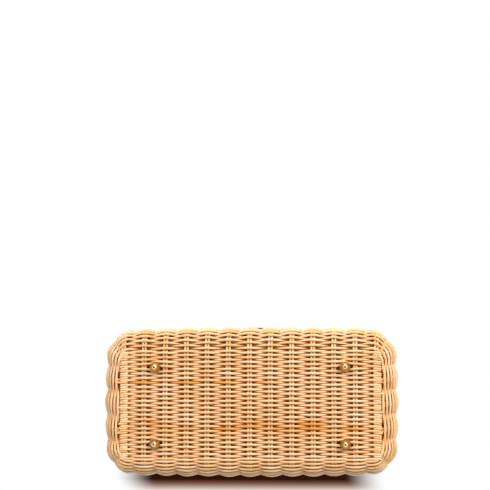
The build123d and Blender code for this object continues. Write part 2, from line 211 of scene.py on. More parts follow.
def lineMesh(name, chains, closed=False, **attributes):
    # guide lines for the trees: each chain is an array of points; attributes are lists of arrays
    mesh = bpy.data.meshes.new(name)
    points, edges = [], []
    for chain in chains:
        start = len(points)
        points.extend(chain)
        edges.extend((start + i, start + i + 1) for i in range(len(chain) - 1))
        if closed:
            edges.append((len(points) - 1, start))
    mesh.from_pydata([tuple(p) for p in points], edges, [])
    for label, arrays in attributes.items():
        data = np.concatenate([np.asarray(a, float) for a in arrays])
        kind, key = ("FLOAT_VECTOR", "vector") if data.ndim == 2 else ("FLOAT", "value")
        layer = mesh.attributes.new(label, kind, "POINT")
        layer.data.foreach_set(key, data.astype(np.float32).ravel())
    return mesh


def newGroup(name, inputs, outputs):
    group = bpy.data.node_groups.new(name, "ShaderNodeTree")
    for label, (kind, default) in inputs.items():
        socket = group.interface.new_socket(label, in_out="INPUT", socket_type=kind)
        socket.default_value = default
    for label, kind in outputs.items():
        group.interface.new_socket(label, in_out="OUTPUT", socket_type=kind)
    return group, group.nodes.new("NodeGroupInput").outputs


number, vector, whole = "NodeSocketFloat", "NodeSocketVector", "NodeSocketInt"
zero = (0.0, 0.0, 0.0)


def fibreGroup():
    # long fibres in a coordinate whose X runs along the rod
    inputs = {"Vector": (vector, zero), "Scale": (number, 1.0), "Stretch": (number, 12.0)}
    group, given = newGroup("fibre", inputs, {"Streak": number, "Height": number})
    along = axesOf(given["Vector"])
    place = scaled(point(calc("DIVIDE", along[0], given["Stretch"]), along[1], along[2]), given["Scale"])
    put(group, "NodeGroupOutput", {"Streak": noise(place, 1.0, 3.0), "Height": noise(place, 4.0, 2.0)})
    return group


def smudgeGroup():
    # soft patches between two values, for polish that is not even
    inputs = {"Vector": (vector, zero), "Scale": (number, 60.0), "Low": (number, 0.0), "High": (number, 1.0)}
    group, given = newGroup("smudge", inputs, {"Value": number})
    cloud = noise(given["Vector"], given["Scale"], 4.0)
    put(group, "NodeGroupOutput", {"Value": ranged(cloud, 0.35, 0.65, given["Low"], given["High"])})
    return group


def poreGroup():
    # leather grain: small cells with creases between them, warped a little
    cellWarp, warpScale, creaseWidth = 0.0012, 260.0, 0.22
    inputs = {"Vector": (vector, zero), "Scale": (number, 900.0)}
    group, given = newGroup("pore", inputs, {"Height": number, "Crease": number})
    warp = noise(given["Vector"], warpScale, 2.0, "Color")
    bent = vectorCalc("ADD", given["Vector"], scaled(warp, cellWarp))
    inputs = {"Vector": bent, "Scale": given["Scale"]}
    cells = put(group, "ShaderNodeTexVoronoi", inputs, feature="DISTANCE_TO_EDGE").outputs[0]
    crease = ranged(cells, 0.0, creaseWidth, 1.0, 0.0)
    put(group, "NodeGroupOutput", {"Height": minus(1.0, crease), "Crease": crease})
    return group


def clothGroup():
    # plain weave of fine yarn on two of the surface's own directions
    slant, slubScale = 0.31, 420.0
    inputs = {"Vector": (vector, zero), "Yarns": (number, 1800.0)}
    group, given = newGroup("cloth", inputs, {"Height": number, "Shade": number})
    axes = axesOf(scaled(given["Vector"], given["Yarns"]))
    lengthwise = plus(axes[0], times(axes[2], slant))
    crosswise = plus(axes[1], axes[2])
    product = times(calc("SINE", lengthwise), calc("SINE", crosswise))
    slubs = noise(given["Vector"], slubScale, 3.0)
    put(group, "NodeGroupOutput", {"Height": plus(times(product, 0.5), slubs), "Shade": slubs})
    return group


groups = {"fibre": fibreGroup(), "smudge": smudgeGroup(), "pore": poreGroup(), "cloth": clothGroup()}


def newMaterial(name, settings):
    # settings go straight on the shader's own sockets
    material = bpy.data.materials.new(name)
    material.use_nodes = True
    shader = material.node_tree.nodes["Principled BSDF"]
    setInputs(shader, settings)
    return material, material.node_tree, shader


def effect(name, place, **inputs):
    return put(place.id_data, "ShaderNodeGroup", {"Vector": place, **inputs}, node_tree=groups[name]).outputs


def objectPlace(tree):
    return put(tree, "ShaderNodeTexCoord").outputs["Object"]


def meshAttribute(tree, name, output="Fac"):
    return put(tree, "ShaderNodeAttribute", attribute_name=name).outputs[output]


def ramp(value, stops):
    node = put(value.id_data, "ShaderNodeValToRGB", {0: value})
    elements = node.color_ramp.elements
    while len(elements) < len(stops):
        elements.new(0.5)
    for element, (place, tone) in zip(elements, stops):
        element.position, element.color = place, opaque(tone)
    return node.outputs[0]


def opaque(value):
    return (*value, 1.0) if isinstance(value, tuple) else value


def blended(amount, first, second, kind="MIX"):
    inputs = {0: amount, 6: opaque(first), 7: opaque(second)}
    tree = treeOf(inputs.values())
    return put(tree, "ShaderNodeMix", inputs, data_type="RGBA", blend_type=kind).outputs[2]


def bump(shader, height, strength, distance):
    inputs = {"Strength": strength, "Distance": distance, "Height": height}
    setInputs(shader, {"Normal": put(height.id_data, "ShaderNodeBump", inputs).outputs[0]})


rattan = {
    # the first two tones are painted shade for skin that lies deep in the weave
    "deepShade": (0.20, 0.034, 0.002),
    "hollowShade": (0.66, 0.23, 0.038),
    "shade": (0.66, 0.29, 0.080),
    "body": (0.90, 0.545, 0.245),
    "light": (0.93, 0.65, 0.42),
    "amber": (0.78, 0.31, 0.040),
    "roughness": 0.42,
    "creviceRoughness": 0.45,  # added where the skin lies deep in the weave
    "gloss": 0.2,
    "hollowShadeRange": (0.0, 0.5),
    "deepShadeRange": (0.35, 0.95),
    "streaks": 0.55,
    "ownTone": 0.45,
    "patches": 0.12,
    "grain": 0.25,
    "grainDepth": 0.2 * millimetre,
}


def rattanMaterial():
    settings = {"Coat Roughness": 0.25, "IOR": 1.5, "Specular IOR Level": 0.2}
    material, tree, shader = newMaterial("rattan", settings)
    skin = axesOf(meshAttribute(tree, "skin", "Vector"))
    seed = meshAttribute(tree, "seed")
    place = point(meshAttribute(tree, "along"), plus(skin[0], times(seed, 37.0)), skin[1])
    fibre = effect("fibre", place, Scale=2.2, Stretch=0.9)
    patches = effect("smudge", objectPlace(tree), Scale=34.0)["Value"]
    tone = plus(times(fibre["Streak"], rattan["streaks"]), times(seed, rattan["ownTone"]))
    tone = plus(tone, times(patches, rattan["patches"]))
    base = ramp(tone, [(0.22, rattan["shade"]), (0.5, rattan["body"]), (0.78, rattan["light"])])
    amber = blended(meshAttribute(tree, "amber"), base, rattan["amber"])
    # skin deep in the weave is painted darker, as painted shade: first towards the hollow tone, then towards
    # the deep tone
    depth = meshAttribute(tree, "creviceShade")
    first, second = ranged(depth, *rattan["hollowShadeRange"]), ranged(depth, *rattan["deepShadeRange"])
    hollowShade = blended(first, amber, rattan["hollowShade"])
    shown = {
        "Base Color": blended(second, hollowShade, rattan["deepShade"]),
        "Roughness": calc("MULTIPLY_ADD", first, rattan["creviceRoughness"], rattan["roughness"]),
        "Coat Weight": calc("MULTIPLY_ADD", first, -rattan["gloss"], rattan["gloss"]),
    }
    setInputs(shader, shown)
    bump(shader, fibre["Height"], rattan["grain"], rattan["grainDepth"])
    return material


metal = {
    "bright": (0.83, 0.56, 0.2),
    "tarnished": (0.64, 0.37, 0.1),
    "ball": (0.98, 0.84, 0.55),
    "cut": (0.4, 0.2, 0.04),
    "betweenCuts": (0.66, 0.4, 0.1),
    "cuts": 20.0,
    "domeLevels": (3.4 * millimetre, 3.9 * millimetre),  # the brushed dome begins between these heights
    "ballRoughness": 0.1,
    "domeRoughness": 0.22,  # added on the dome
    "steelTones": [(0.2, (0.5, 0.5, 0.5)), (0.5, (0.62, 0.61, 0.6))],
    "scratchDepth": 0.1 * millimetre,
    "cutDepth": 0.2 * millimetre,
}


def brassMaterial():
    material, tree, shader = newMaterial("brass", {"Metallic": 1.0, "Anisotropic": 0.15})
    place = objectPlace(tree)
    polish = effect("smudge", place, Scale=240.0, Low=0.12, High=0.26)["Value"]
    tarnish = effect("smudge", place, Scale=90.0, Low=0.0, High=1.0)["Value"]
    base = blended(tarnish, metal["bright"], metal["tarnished"])
    setInputs(shader, {"Base Color": base, "Roughness": polish})
    scratch = effect("fibre", place, Scale=900.0, Stretch=8.0)["Height"]
    bump(shader, scratch, strength=0.06, distance=metal["scratchDepth"])
    return material


def footMaterial():
    # a polished ball on a brushed dome with fine radial cuts
    material, tree, shader = newMaterial("footBrass", {"Metallic": 1.0})
    place = objectPlace(tree)
    axes = axesOf(place)
    fromX = minus(calc("ABSOLUTE", axes[0]), frontFoot.x)
    fromY = minus(calc("ABSOLUTE", minus(axes[1], footMiddle)), footMiddle - frontFoot.y)
    turn = calc("ARCTAN2", fromY, fromX)
    cut = calc("MULTIPLY_ADD", calc("SINE", times(turn, metal["cuts"])), 0.5, 0.5)
    dome = ranged(axes[2], *metal["domeLevels"])
    base = blended(dome, metal["ball"], blended(cut, metal["cut"], metal["betweenCuts"]))
    smudges = effect("smudge", place, Scale=600.0, Low=-0.05, High=0.08)["Value"]
    rough = calc("MULTIPLY_ADD", dome, metal["domeRoughness"], metal["ballRoughness"])
    setInputs(shader, {"Base Color": base, "Roughness": plus(rough, smudges)})
    bump(shader, times(cut, dome), strength=0.3, distance=metal["cutDepth"])
    return material


def steelMaterial():
    material, tree, shader = newMaterial("steel", {"Metallic": 1.0})
    turned = effect("smudge", objectPlace(tree), Scale=500.0, Low=0.25, High=0.4)["Value"]
    setInputs(shader, {"Base Color": ramp(turned, metal["steelTones"]), "Roughness": turned})
    return material


hide = {
    "dark": (0.06, 0.02, 0.01),
    "worn": (0.125, 0.043, 0.018),
    "edge": (0.26, 0.115, 0.05),
    "creaseTint": (0.35, 0.3, 0.3),
    "creases": 0.6,
    "roughness": 0.5,
    "polish": -0.12,  # what wear adds to the roughness
    "poreDepth": 0.2 * millimetre,
}


def leatherMaterial():
    settings = {"Specular IOR Level": 0.45, "Coat Weight": 0.08, "Coat Roughness": 0.3}
    material, tree, shader = newMaterial("darkLeather", settings)
    place = objectPlace(tree)
    pore = effect("pore", place, Scale=850.0)
    worn = effect("smudge", place, Scale=45.0)["Value"]
    edge = times(meshAttribute(tree, "edge"), calc("MULTIPLY_ADD", worn, 0.4, 0.4))
    base = blended(edge, blended(worn, hide["dark"], hide["worn"]), hide["edge"])
    base = blended(times(pore["Crease"], hide["creases"]), base, hide["creaseTint"], "MULTIPLY")
    rough = calc("MULTIPLY_ADD", worn, hide["polish"], hide["roughness"])
    setInputs(shader, {"Base Color": base, "Roughness": rough})
    bump(shader, pore["Height"], strength=0.35, distance=hide["poreDepth"])
    return material


fabric = {
    "light": (0.60, 0.49, 0.35),
    "dark": (0.46, 0.36, 0.25),
    "threadTones": [(0.1, (0.33, 0.2, 0.1)), (0.8, (0.62, 0.44, 0.26))],
    "boardLight": (0.11, 0.022, 0.003),
    "boardDark": (0.16, 0.036, 0.006),
    "yarnDepth": 0.2 * millimetre,
    "twistDepth": 0.1 * millimetre,
}


def clothMaterial():
    material, tree, shader = newMaterial("liningCloth", {"Roughness": 0.9, "Sheen Weight": 0.25})
    yarns = effect("cloth", objectPlace(tree), Yarns=5200.0)
    setInputs(shader, {"Base Color": blended(yarns["Shade"], fabric["light"], fabric["dark"])})
    bump(shader, yarns["Height"], strength=0.4, distance=fabric["yarnDepth"])
    return material


def threadMaterial():
    # waxed thread, twisted
    material, tree, shader = newMaterial("thread", {"Roughness": 0.55, "Sheen Weight": 0.2})
    inputs = {"Vector": objectPlace(tree), "Scale": 900.0}
    twist = put(tree, "ShaderNodeTexWave", inputs, bands_direction="DIAGONAL").outputs[1]
    setInputs(shader, {"Base Color": ramp(twist, fabric["threadTones"])})
    bump(shader, twist, strength=0.5, distance=fabric["twistDepth"])
    return material


def boardMaterial():
    material, tree, shader = newMaterial("board", {"Roughness": 0.8})
    fleck = effect("smudge", objectPlace(tree), Scale=700.0)["Value"]
    setInputs(shader, {"Base Color": blended(fleck, fabric["boardLight"], fabric["boardDark"])})
    bump(shader, fleck, strength=0.3, distance=fabric["yarnDepth"])
    return material


materials = {
    "rattan": rattanMaterial(),
    "brass": brassMaterial(),
    "dark_leather": leatherMaterial(),
    "lining_cloth": clothMaterial(),
    "board": boardMaterial(),
    "steel": steelMaterial(),
}
thread = threadMaterial()

# every node that stays from the frame takes its finished material
footBrass = footMaterial()
for part in frame["record"]["subparts"]:
    finish = footBrass if part["node"] in feet else materials[part["material_slot"]]
    data = nodes[part["node"]].data
    data.materials.clear()
    data.materials.append(finish)
print("materials ready:", len(materials))


bodyLow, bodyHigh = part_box("wicker_body")
lidLow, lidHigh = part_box("wicker_lid")

weave = {
    "thickness": 6.0 * millimetre,
    "panelHalfLength": 117.5 * millimetre,
    "panelHalfWidth": 47.25 * millimetre,
    "panelCorner": 9.0 * millimetre,
    "panelBow": 0.4 * millimetre,
    "corner": 24.0 * millimetre,
    "longBow": 2.0 * millimetre,
    "endBow": 2.5 * millimetre,
    "rise": 20.0 * millimetre,
    "stakePitch": 18.85 * millimetre,
    "stakeShift": -0.6 * millimetre,  # the long stakes sit this far to one side
    "stakesLong": 13,
    "endPitch": 21.9 * millimetre,
    "stakesEnd": 5,
    "stakeRadius": 1.02 * millimetre,
    "stakeHalfGap": 1.24 * millimetre,
    "rodPitch": 2.04 * millimetre,
    "rodRadius": 0.98 * millimetre,
    "crownRadius": 1.24 * millimetre,
    "swing": 1.9 * millimetre,
    "unevenness": 0.35,
    "driftAlong": 0.8,  # how fast the unevenness changes from stake to stake, and from row to row
    "driftAcross": 5.37,
    "swell": 0.6,
    "endTuck": 6.0 * millimetre,  # end stakes run this far in under the panel
    # skin nearer the weave's middle than the first level is painted with shade, full at the second level
    "shadeFreeLevel": 0.55 * millimetre,  # skin this far out from the weave's middle has its full colour
    "fullShadeLevel": -0.55 * millimetre,
    "roundingRows": 13,
    "panelRows": 47,
    "stepsPerStake": 6,
    "outlineStep": 0.5 * millimetre,
    "sides": 6,
}
halfThickness = weave["thickness"] / 2
midRise = weave["rise"] - halfThickness  # the middle of the weave turns on this radius
stakesLong = weave["stakePitch"] * (np.arange(weave["stakesLong"]) - (weave["stakesLong"] - 1) / 2)
stakesLong += weave["stakeShift"]
stakesEnd = weave["endPitch"] * (np.arange(weave["stakesEnd"]) - (weave["stakesEnd"] - 1) / 2)
stakeCount = 2 * (len(stakesLong) + len(stakesEnd))


def outline(halfX, halfY, corner, bowX, bowY):
    # dense closed outline from the middle of the left end, anticlockwise seen from above
    straight = np.array([halfX - bowX - corner, halfY - bowY - corner])
    points = []
    for centre, start in zip(((-1, -1), (1, -1), (1, 1), (-1, 1)), (180, 270, 0, 90)):
        for turn in np.radians(np.linspace(start, start + 90, 61)):
            points.append(straight * centre + corner * np.array([math.cos(turn), math.sin(turn)]))
    dense = []
    for here, after in zip(points, points[1:] + points[:1]):
        steps = max(1, int(np.linalg.norm(after - here) / weave["outlineStep"]))
        dense.extend(here + (after - here) * i / steps for i in range(steps))
    dense = np.array(dense)
    bowed = dense.copy()
    for axis, bow, reach in ((0, bowX, halfY - bowY), (1, bowY, halfX - bowX)):
        along = dense[:, axis]
        bulge = np.sign(along) * bow * np.clip(1 - (dense[:, 1 - axis] / reach) ** 2, 0, 1)
        bowed[:, axis] += bulge * np.clip(np.abs(along) / straight[axis], 0, 1) ** 8
    return bowed


def stakeRing(dense):
    # points on an outline, a number of steps from each stake to the next
    spans = np.linalg.norm(np.diff(dense, axis=0, append=dense[:1]), axis=1)
    lengths = np.concatenate([[0], np.cumsum(spans)])
    total, lengths = lengths[-1], lengths[:-1]

    def crossings(axis, values, side):
        wrong = np.sign(dense[:, 1 - axis]) != side
        return [lengths[np.argmin(np.abs(dense[:, axis] - value) + wrong * 10)] for value in values]

    places = crossings(0, stakesLong, -1) + crossings(1, stakesEnd, 1)
    places += crossings(0, stakesLong[::-1], 1) + crossings(1, stakesEnd[::-1], -1)
    places = np.unwrap(np.array(places), period=total)
    assert (np.diff(places) > 0).all(), "two stakes change places at a corner"
    places = np.append(places, places[0] + total)
    wanted = np.interp(stakeIndex, np.arange(stakeCount + 1), places) % total
    x, y = (np.interp(wanted, lengths, dense[:, axis], period=total) for axis in (0, 1))
    return np.stack([x, y, np.zeros_like(x)], axis=1)


stakeIndex = np.arange(stakeCount * weave["stepsPerStake"]) / weave["stepsPerStake"]
panelSizes = ("panelHalfLength", "panelHalfWidth", "panelCorner", "panelBow", "panelBow")
wallSizes = (bodyHigh.x - halfThickness, bodyHigh.y - halfThickness, weave["corner"] - halfThickness)
low = stakeRing(outline(*(weave[size] for size in panelSizes)))
full = stakeRing(outline(*wallSizes, weave["endBow"], weave["longBow"]))
tangent = np.roll(full, -1, axis=0) - np.roll(full, 1, axis=0)
tangent /= np.linalg.norm(tangent, axis=1)[:, None]
outward = np.stack([tangent[:, 1], -tangent[:, 0], np.zeros(len(tangent))], axis=1)
panelShift = {"body": footMiddle, "lid": 0.0}


def rowWave(stake, row, given):
    # over one stake and under the next, each row the other way round, and never quite evenly
    wave = calc("COSINE", times(plus(stake, row), math.pi))
    along, across = times(stake, weave["driftAlong"]), times(row, weave["driftAcross"])
    spot = point(along, across, given["Unevenness Seed"])
    centred = vectorCalc("SUBTRACT", noise(spot, 1.0, 1.0, "Color"), (0.5, 0.5, 0.5))
    loose = axesOf(scaled(centred, given["Unevenness"]))
    offset = times(wave, times(given["Swing"], plus(loose[1], 1.0)))
    spread = minus(given["Crown Radius"], given["Rod Radius"])
    radius = calc("MULTIPLY_ADD", calc("ABSOLUTE", wave), spread, given["Rod Radius"])
    radius = times(radius, calc("MULTIPLY_ADD", loose[2], weave["swell"], 1.0))
    drift = times(loose[0], given["Row Pitch"])
    return offset, radius, drift, noise(spot, 1.0, 1.0)


rodInputs = {
    "Rows": (whole, 10),
    "Row Pitch": (number, weave["rodPitch"]),
    "Level": (number, 0.0),
    "Up": (number, 1.0),
    "Swing": (number, weave["swing"]),
    "Rod Radius": (number, weave["rodRadius"]),
    "Crown Radius": (number, weave["crownRadius"]),
    "Unevenness": (number, weave["unevenness"]),
    "Unevenness Seed": (number, 0.0),
    "Shade Free Level": (number, weave["shadeFreeLevel"]),
    "Full Shade Level": (number, weave["fullShadeLevel"]),
    "Sides": (whole, weave["sides"]),
}


def copies(given, amount):
    inputs = {"Geometry": guideCurve(given), "Amount": amount}
    made = put(given["Geometry"].id_data, "GeometryNodeDuplicateElements", inputs, domain="SPLINE").outputs
    return made["Geometry"], made["Duplicate Index"]


def chance(tree, index, seed):
    inputs = {"ID": index, "Seed": seed}
    return put(tree, "FunctionNodeRandomValue", inputs, data_type="FLOAT").outputs[1]


def rowsOf(tree, given):
    # copies of the guide line, one for each row, with a seed of its own
    curve, row = copies(given, given["Rows"])
    curve = stored(stored(curve, "row", row), "seed", chance(tree, row, 7))
    return curve, kept(tree, "row")


def besideMiddle(row, given):
    return minus(row, times(minus(given["Rows"], 1.0), 0.5))


def mixedSeed(curve, tone):
    # half of a row's shade is its own and half drifts along it
    return stored(curve, "seed", times(plus(kept(curve.id_data, "seed"), tone), 0.5))


def wovenRods(tree, curve, place, normal, bend, given):
    # lifts the rows off the weave's middle surface and marks how deep each bit of skin lies in it, for
    # painted shade in the hollows of the weave
    offset, radius = bend
    for label, value, kind in (
        ("seat", place, "FLOAT_VECTOR"),
        ("facing", normal, "FLOAT_VECTOR"),
        ("thickness", radius, "FLOAT"),
        ("offset", offset, "FLOAT"),
    ):
        curve = stored(curve, label, value, kind)
    seat, facing = keptVector(tree, "seat"), keptVector(tree, "facing")
    curve = moved(curve, Position=vectorCalc("ADD", seat, scaled(facing, kept(tree, "offset"))))
    mesh = rodMesh(curve, kept(tree, "thickness"), given["Sides"])
    here = put(tree, "GeometryNodeInputPosition").outputs[0]
    depth = vectorCalc("DOT_PRODUCT", vectorCalc("SUBTRACT", here, seat), facing, out=1)
    # how deep the skin lies sets its painted shade
    mesh = stored(mesh, "creviceShade", ranged(depth, given["Shade Free Level"], given["Full Shade Level"]))
    for spare in ("seat", "facing", "thickness", "offset"):
        mesh = put(tree, "GeometryNodeRemoveAttribute", {"Geometry": mesh, "Name": spare}).outputs[0]
    return closeTree(mesh, given)


def wovenWallTree():
    inputs = {**rodInputs, "Rounding Rows": (whole, weave["roundingRows"]), "Rise": (number, midRise)}
    tree, given = newTree("wovenWall", inputs)
    curve, row = rowsOf(tree, given)
    middle = plus(row, 0.5)
    share = calc("MINIMUM", calc("DIVIDE", middle, given["Rounding Rows"]), 1.0)
    turn = times(share, math.pi / 2)
    straight = times(calc("MAXIMUM", minus(middle, given["Rounding Rows"]), 0.0), given["Row Pitch"])
    spread, down = calc("SINE", turn), calc("COSINE", turn)
    lowPlace, fullPlace = keptVector(tree, "low"), keptVector(tree, "full")
    plan = vectorCalc("ADD", lowPlace, scaled(vectorCalc("SUBTRACT", fullPlace, lowPlace), spread))
    lift = calc("MULTIPLY_ADD", given["Rise"], minus(1.0, down), straight)
    level = calc("MULTIPLY_ADD", lift, given["Up"], given["Level"])
    sideways = scaled(keptVector(tree, "outward"), spread)
    downwards = point(0.0, 0.0, times(down, times(given["Up"], -1.0)))
    normal = vectorCalc("NORMALIZE", vectorCalc("ADD", sideways, downwards))
    stake = kept(tree, "stake")
    offset, radius, drift, tone = rowWave(plus(stake, 1.0), row, given)
    height = calc("MULTIPLY_ADD", drift, spread, level)
    place = vectorCalc("ADD", plan, point(0.0, 0.0, height))
    curve = stored(mixedSeed(curve, tone), "along", stake)
    return wovenRods(tree, curve, place, normal, (offset, radius), given)


# older, darker rods of the base: row from the middle, rows each side, first and last stake, strength
stains = [
    (-10, 0.5, -7, 1, 2.2),
    (10, 0.5, -3, 5.5, 1.5),
    (8, 3, -6, -4.5, 1.3),
    (8.5, 3.5, -1.5, 4, 1.0),
    (22.5, 1, -5.5, -2.5, 1.1),
]


panel = {
    "step": weave["stakePitch"] / 8,
    "sides": 8,
    "fittingReach": 5.0 * millimetre,
    "fittingStretch": 1.4,  # the rows part over a longer way along them than across
    "fittingFall": 0.7,
    "fittingPush": 0.9 * millimetre,
    "cloudScale": 38.0,
    "cloudStretch": 2.5,
    "cloudRange": (0.4, 0.62, 0.25, 1.0),
    "deepest": 0.95,
}


def stained(strip, row, stake, patchy):
    # an older strip of rows between two stakes
    centre, width, start, end, strength = strip
    near = calc("DIVIDE", minus(row, centre), width)
    inside = times(ranged(stake, start - 1, start + 1), minus(1.0, ranged(stake, end - 1, end + 1)))
    return times(times(calc("EXPONENT", times(times(near, near), -1.0)), inside), times(patchy, strength))


def wovenPanelTree():
    # straight rows across a flat panel, spread apart a little round whatever is fixed through it
    inputs = {
        "Stake Pitch": weave["stakePitch"],
        "Stake Shift": weave["stakeShift"],
        "Fitting X": 1.0,
        "Fitting Y": 1.0,
        "Fitting Reach": panel["fittingReach"],
        "Fitting Push": 0.0,
        "Stain": 0.0,
    }
    tree, given = newTree("wovenPanel", {**rodInputs, **{k: (number, v) for k, v in inputs.items()}})
    curve, row = rowsOf(tree, given)
    here = axesOf(put(tree, "GeometryNodeInputPosition").outputs[0])
    centred = besideMiddle(row, given)
    y = times(centred, given["Row Pitch"])
    stake = calc("DIVIDE", minus(here[0], given["Stake Shift"]), given["Stake Pitch"])
    offset, radius, drift, tone = rowWave(stake, row, given)
    acrossX = minus(calc("ABSOLUTE", here[0]), given["Fitting X"])
    acrossY = minus(calc("ABSOLUTE", y), given["Fitting Y"])
    reach = given["Fitting Reach"]
    away = plus(
        calc("POWER", calc("DIVIDE", acrossX, times(reach, panel["fittingStretch"])), 2.0),
        calc("POWER", calc("DIVIDE", acrossY, reach), 2.0),
    )
    push = times(calc("EXPONENT", times(away, -panel["fittingFall"])), given["Fitting Push"])
    push = times(push, times(calc("SIGN", acrossY), calc("SIGN", y)))
    place = point(here[0], plus(plus(y, push), plus(drift, here[1])), given["Level"])
    normal = point(0.0, 0.0, times(given["Up"], -1.0))
    cloud = noise(point(here[0], times(y, panel["cloudStretch"])), panel["cloudScale"], 2.0)
    patchy = ranged(cloud, *panel["cloudRange"])
    amber = 0.0
    for strip in stains:
        amber = plus(amber, stained(strip, centred, stake, patchy))
    amber = calc("MINIMUM", times(amber, given["Stain"]), panel["deepest"])
    curve = stored(stored(mixedSeed(curve, tone), "amber", amber), "along", stake)
    return wovenRods(tree, curve, place, normal, (offset, radius), given)


stakes = {
    "grain": 50.0,  # what a metre of stake adds to the place in its grain
    "seed": 0.35,
}


def grained(curve, seed):
    length = put(curve.id_data, "GeometryNodeSplineParameter").outputs["Length"]
    return stored(stored(curve, "along", times(length, stakes["grain"])), "seed", seed)


def rods(curve, given):
    return closeTree(rodMesh(curve, given["Rod Radius"], given["Sides"]), given)


def rodSizes(radius, sides):
    return {"Rod Radius": (number, radius), "Sides": (whole, sides)}


def stakeTree():
    # each guide line becomes a pair of rods side by side
    sizes = rodSizes(weave["stakeRadius"], weave["sides"])
    tree, given = newTree("stakePair", {"Half Gap": (number, weave["stakeHalfGap"]), **sizes})
    curve, twin = copies(given, 2)
    curve = stored(curve, "twin", twin)
    side = calc("MULTIPLY_ADD", kept(tree, "twin"), 2.0, -1.0)
    shift = scaled(keptVector(tree, "across"), times(side, given["Half Gap"]))
    return rods(moved(grained(curve, stakes["seed"]), Offset=shift), given)


wallTree, panelTree, pairTree = wovenWallTree(), wovenPanelTree(), stakeTree()
cane = {"Material": materials["rattan"]}


def shifted(points, y):
    return points + np.array([0, y, 0])


def panelLine(name, y):
    reach = selvedge["place"]
    x = np.linspace(-reach, reach, int(round(2 * reach / panel["step"])) + 1)
    return lineMesh(name, [np.stack([x, np.full_like(x, y), np.zeros_like(x)], axis=1)])


quarter = np.radians(np.linspace(0, 90, 9))


def profile(up, panelLevel, rimLevel):
    # spread and level along the middle of the weave, from the panel up to the rim
    level = panelLevel + up * (halfThickness + midRise * (1 - np.cos(quarter)))
    return np.append(np.sin(quarter), 1.0), np.append(level, rimLevel)


def upTheWall(index, shift, spread, level):
    place = index * weave["stepsPerStake"]
    lowPoint, fullPoint = shifted(low, shift)[place], full[place]
    points = lowPoint + (fullPoint - lowPoint) * spread[:, None]
    points[:, 2] = level
    return points


def stakeLines(name, up, panelLevel, rimLevel, shift):
    # long stakes run from one mouth edge across the panel to the other, end stakes up the walls only
    spread, level = profile(up, panelLevel, rimLevel)
    chains, across = [], []
    facing = outward[:: weave["stepsPerStake"]]
    beside = np.stack([-facing[:, 1], facing[:, 0], np.zeros(len(facing))], axis=1)
    longCount, endCount = len(stakesLong), len(stakesEnd)
    for i in range(longCount):
        other = longCount + endCount + (longCount - 1 - i)
        frontPart = upTheWall(i, shift, spread, level)[::-1]
        backPart = upTheWall(other, shift, spread, level)
        chains.append(np.concatenate([frontPart, backPart]))
        across.append(np.concatenate([[beside[i]] * len(frontPart), [-beside[other]] * len(backPart)]))
    for first in (longCount, 2 * longCount + endCount):
        for i in range(first, first + endCount):
            points = upTheWall(i, shift, spread, level)
            tip = points[0] * [1, 1, 0] + [0, 0, level[0]]
            inner = tip - facing[i] * weave["endTuck"]
            chains.append(np.concatenate([[inner], points]))
            across.append(np.array([beside[i]] * (len(points) + 1)))
    return lineMesh(name, chains, across=across)


selvedge = {
    "place": 113.1 * millimetre,
    "halfLength": 2.9 * millimetre,
    "halfHeight": 1.95 * millimetre,
    "rodRadius": 1.02 * millimetre,
    "jitter": 0.3 * millimetre,
    "jitterAlong": 1.6,
    "points": 24,
    "squareness": (0.6, 0.7),  # below 1 the loop is nearer to a box, along and across
    "lean": 0.25,
    "grain": 3.0,
    # the underside of each loop, below this, is painted with shade of the strength that follows
    "insideBelow": -0.3,
    "insideShadeDepth": 0.8,
}


def selvedgeTree():
    # each row turns back round the outermost stakes: one flat loop a row at both ends
    inputs = {"Rows": (whole, weave["panelRows"]), "Row Pitch": (number, weave["rodPitch"])}
    sizes = rodSizes(selvedge["rodRadius"], weave["sides"])
    tree, given = newTree("selvedge", {**inputs, **sizes})
    curve, row = rowsOf(tree, given)
    jitter = calc("MULTIPLY_ADD", kept(tree, "seed"), selvedge["jitter"], -selvedge["jitter"] / 2)
    y = calc("MULTIPLY_ADD", besideMiddle(row, given), given["Row Pitch"], jitter)
    lean = times(kept(tree, "lean"), given["Row Pitch"])
    curve = stored(curve, "along", times(kept(tree, "turn"), selvedge["grain"]))
    # the loop's underside carries painted shade through the same mark as the weave's hollows
    curve = stored(curve, "creviceShade", kept(tree, "inside"))
    return rods(moved(curve, Offset=point(times(jitter, selvedge["jitterAlong"]), plus(y, lean))), given)


def squarer(value, power):
    return np.sign(value) * np.abs(value) ** power


def selvedgeLines(name, level, up, y):
    # a stadium on edge at each end of the panel, leaning by one row from its start to its end
    turns = np.linspace(0, 2 * math.pi, selvedge["points"] + 1)[:-1]
    cosine, sine = np.cos(turns), np.sin(turns)
    along, across = selvedge["squareness"]
    chains, lean, turn, inside = [], [], [], []
    for side in (-1, 1):
        x = side * (selvedge["place"] + selvedge["halfLength"] * squarer(cosine, along))
        z = level - up * selvedge["halfHeight"] * squarer(sine, across)
        chains.append(np.stack([x, np.full_like(x, y), z], axis=1))
        lean.append(selvedge["lean"] * cosine)
        turn.append(turns / (2 * math.pi) + side)
        # painted shade on the loop's underside
        inside.append(np.where(sine < selvedge["insideBelow"], selvedge["insideShadeDepth"], 0.0))
    return lineMesh(name, chains, True, lean=lean, turn=turn, inside=inside)


tips = {
    "start": 112.0 * millimetre,
    "radius": 0.9 * millimetre,
    "short": 117.5 * millimetre,
    "long": 120.5 * millimetre,
    # the rows, counted from the middle, where a tip pokes out at each end of the panel
    "rows": {
        -1: {-10: "long", 1: "short", 8: "short", 12: "long"},
        1: {-5: "short", 3: "short", 12: "short"},
    },
    "longAmber": 0.5,
    "shortAmber": 0.1,
    "sides": 8,
    "seed": 0.6,
    "droop": 12,  # metres of drop for each square metre along the tip
}


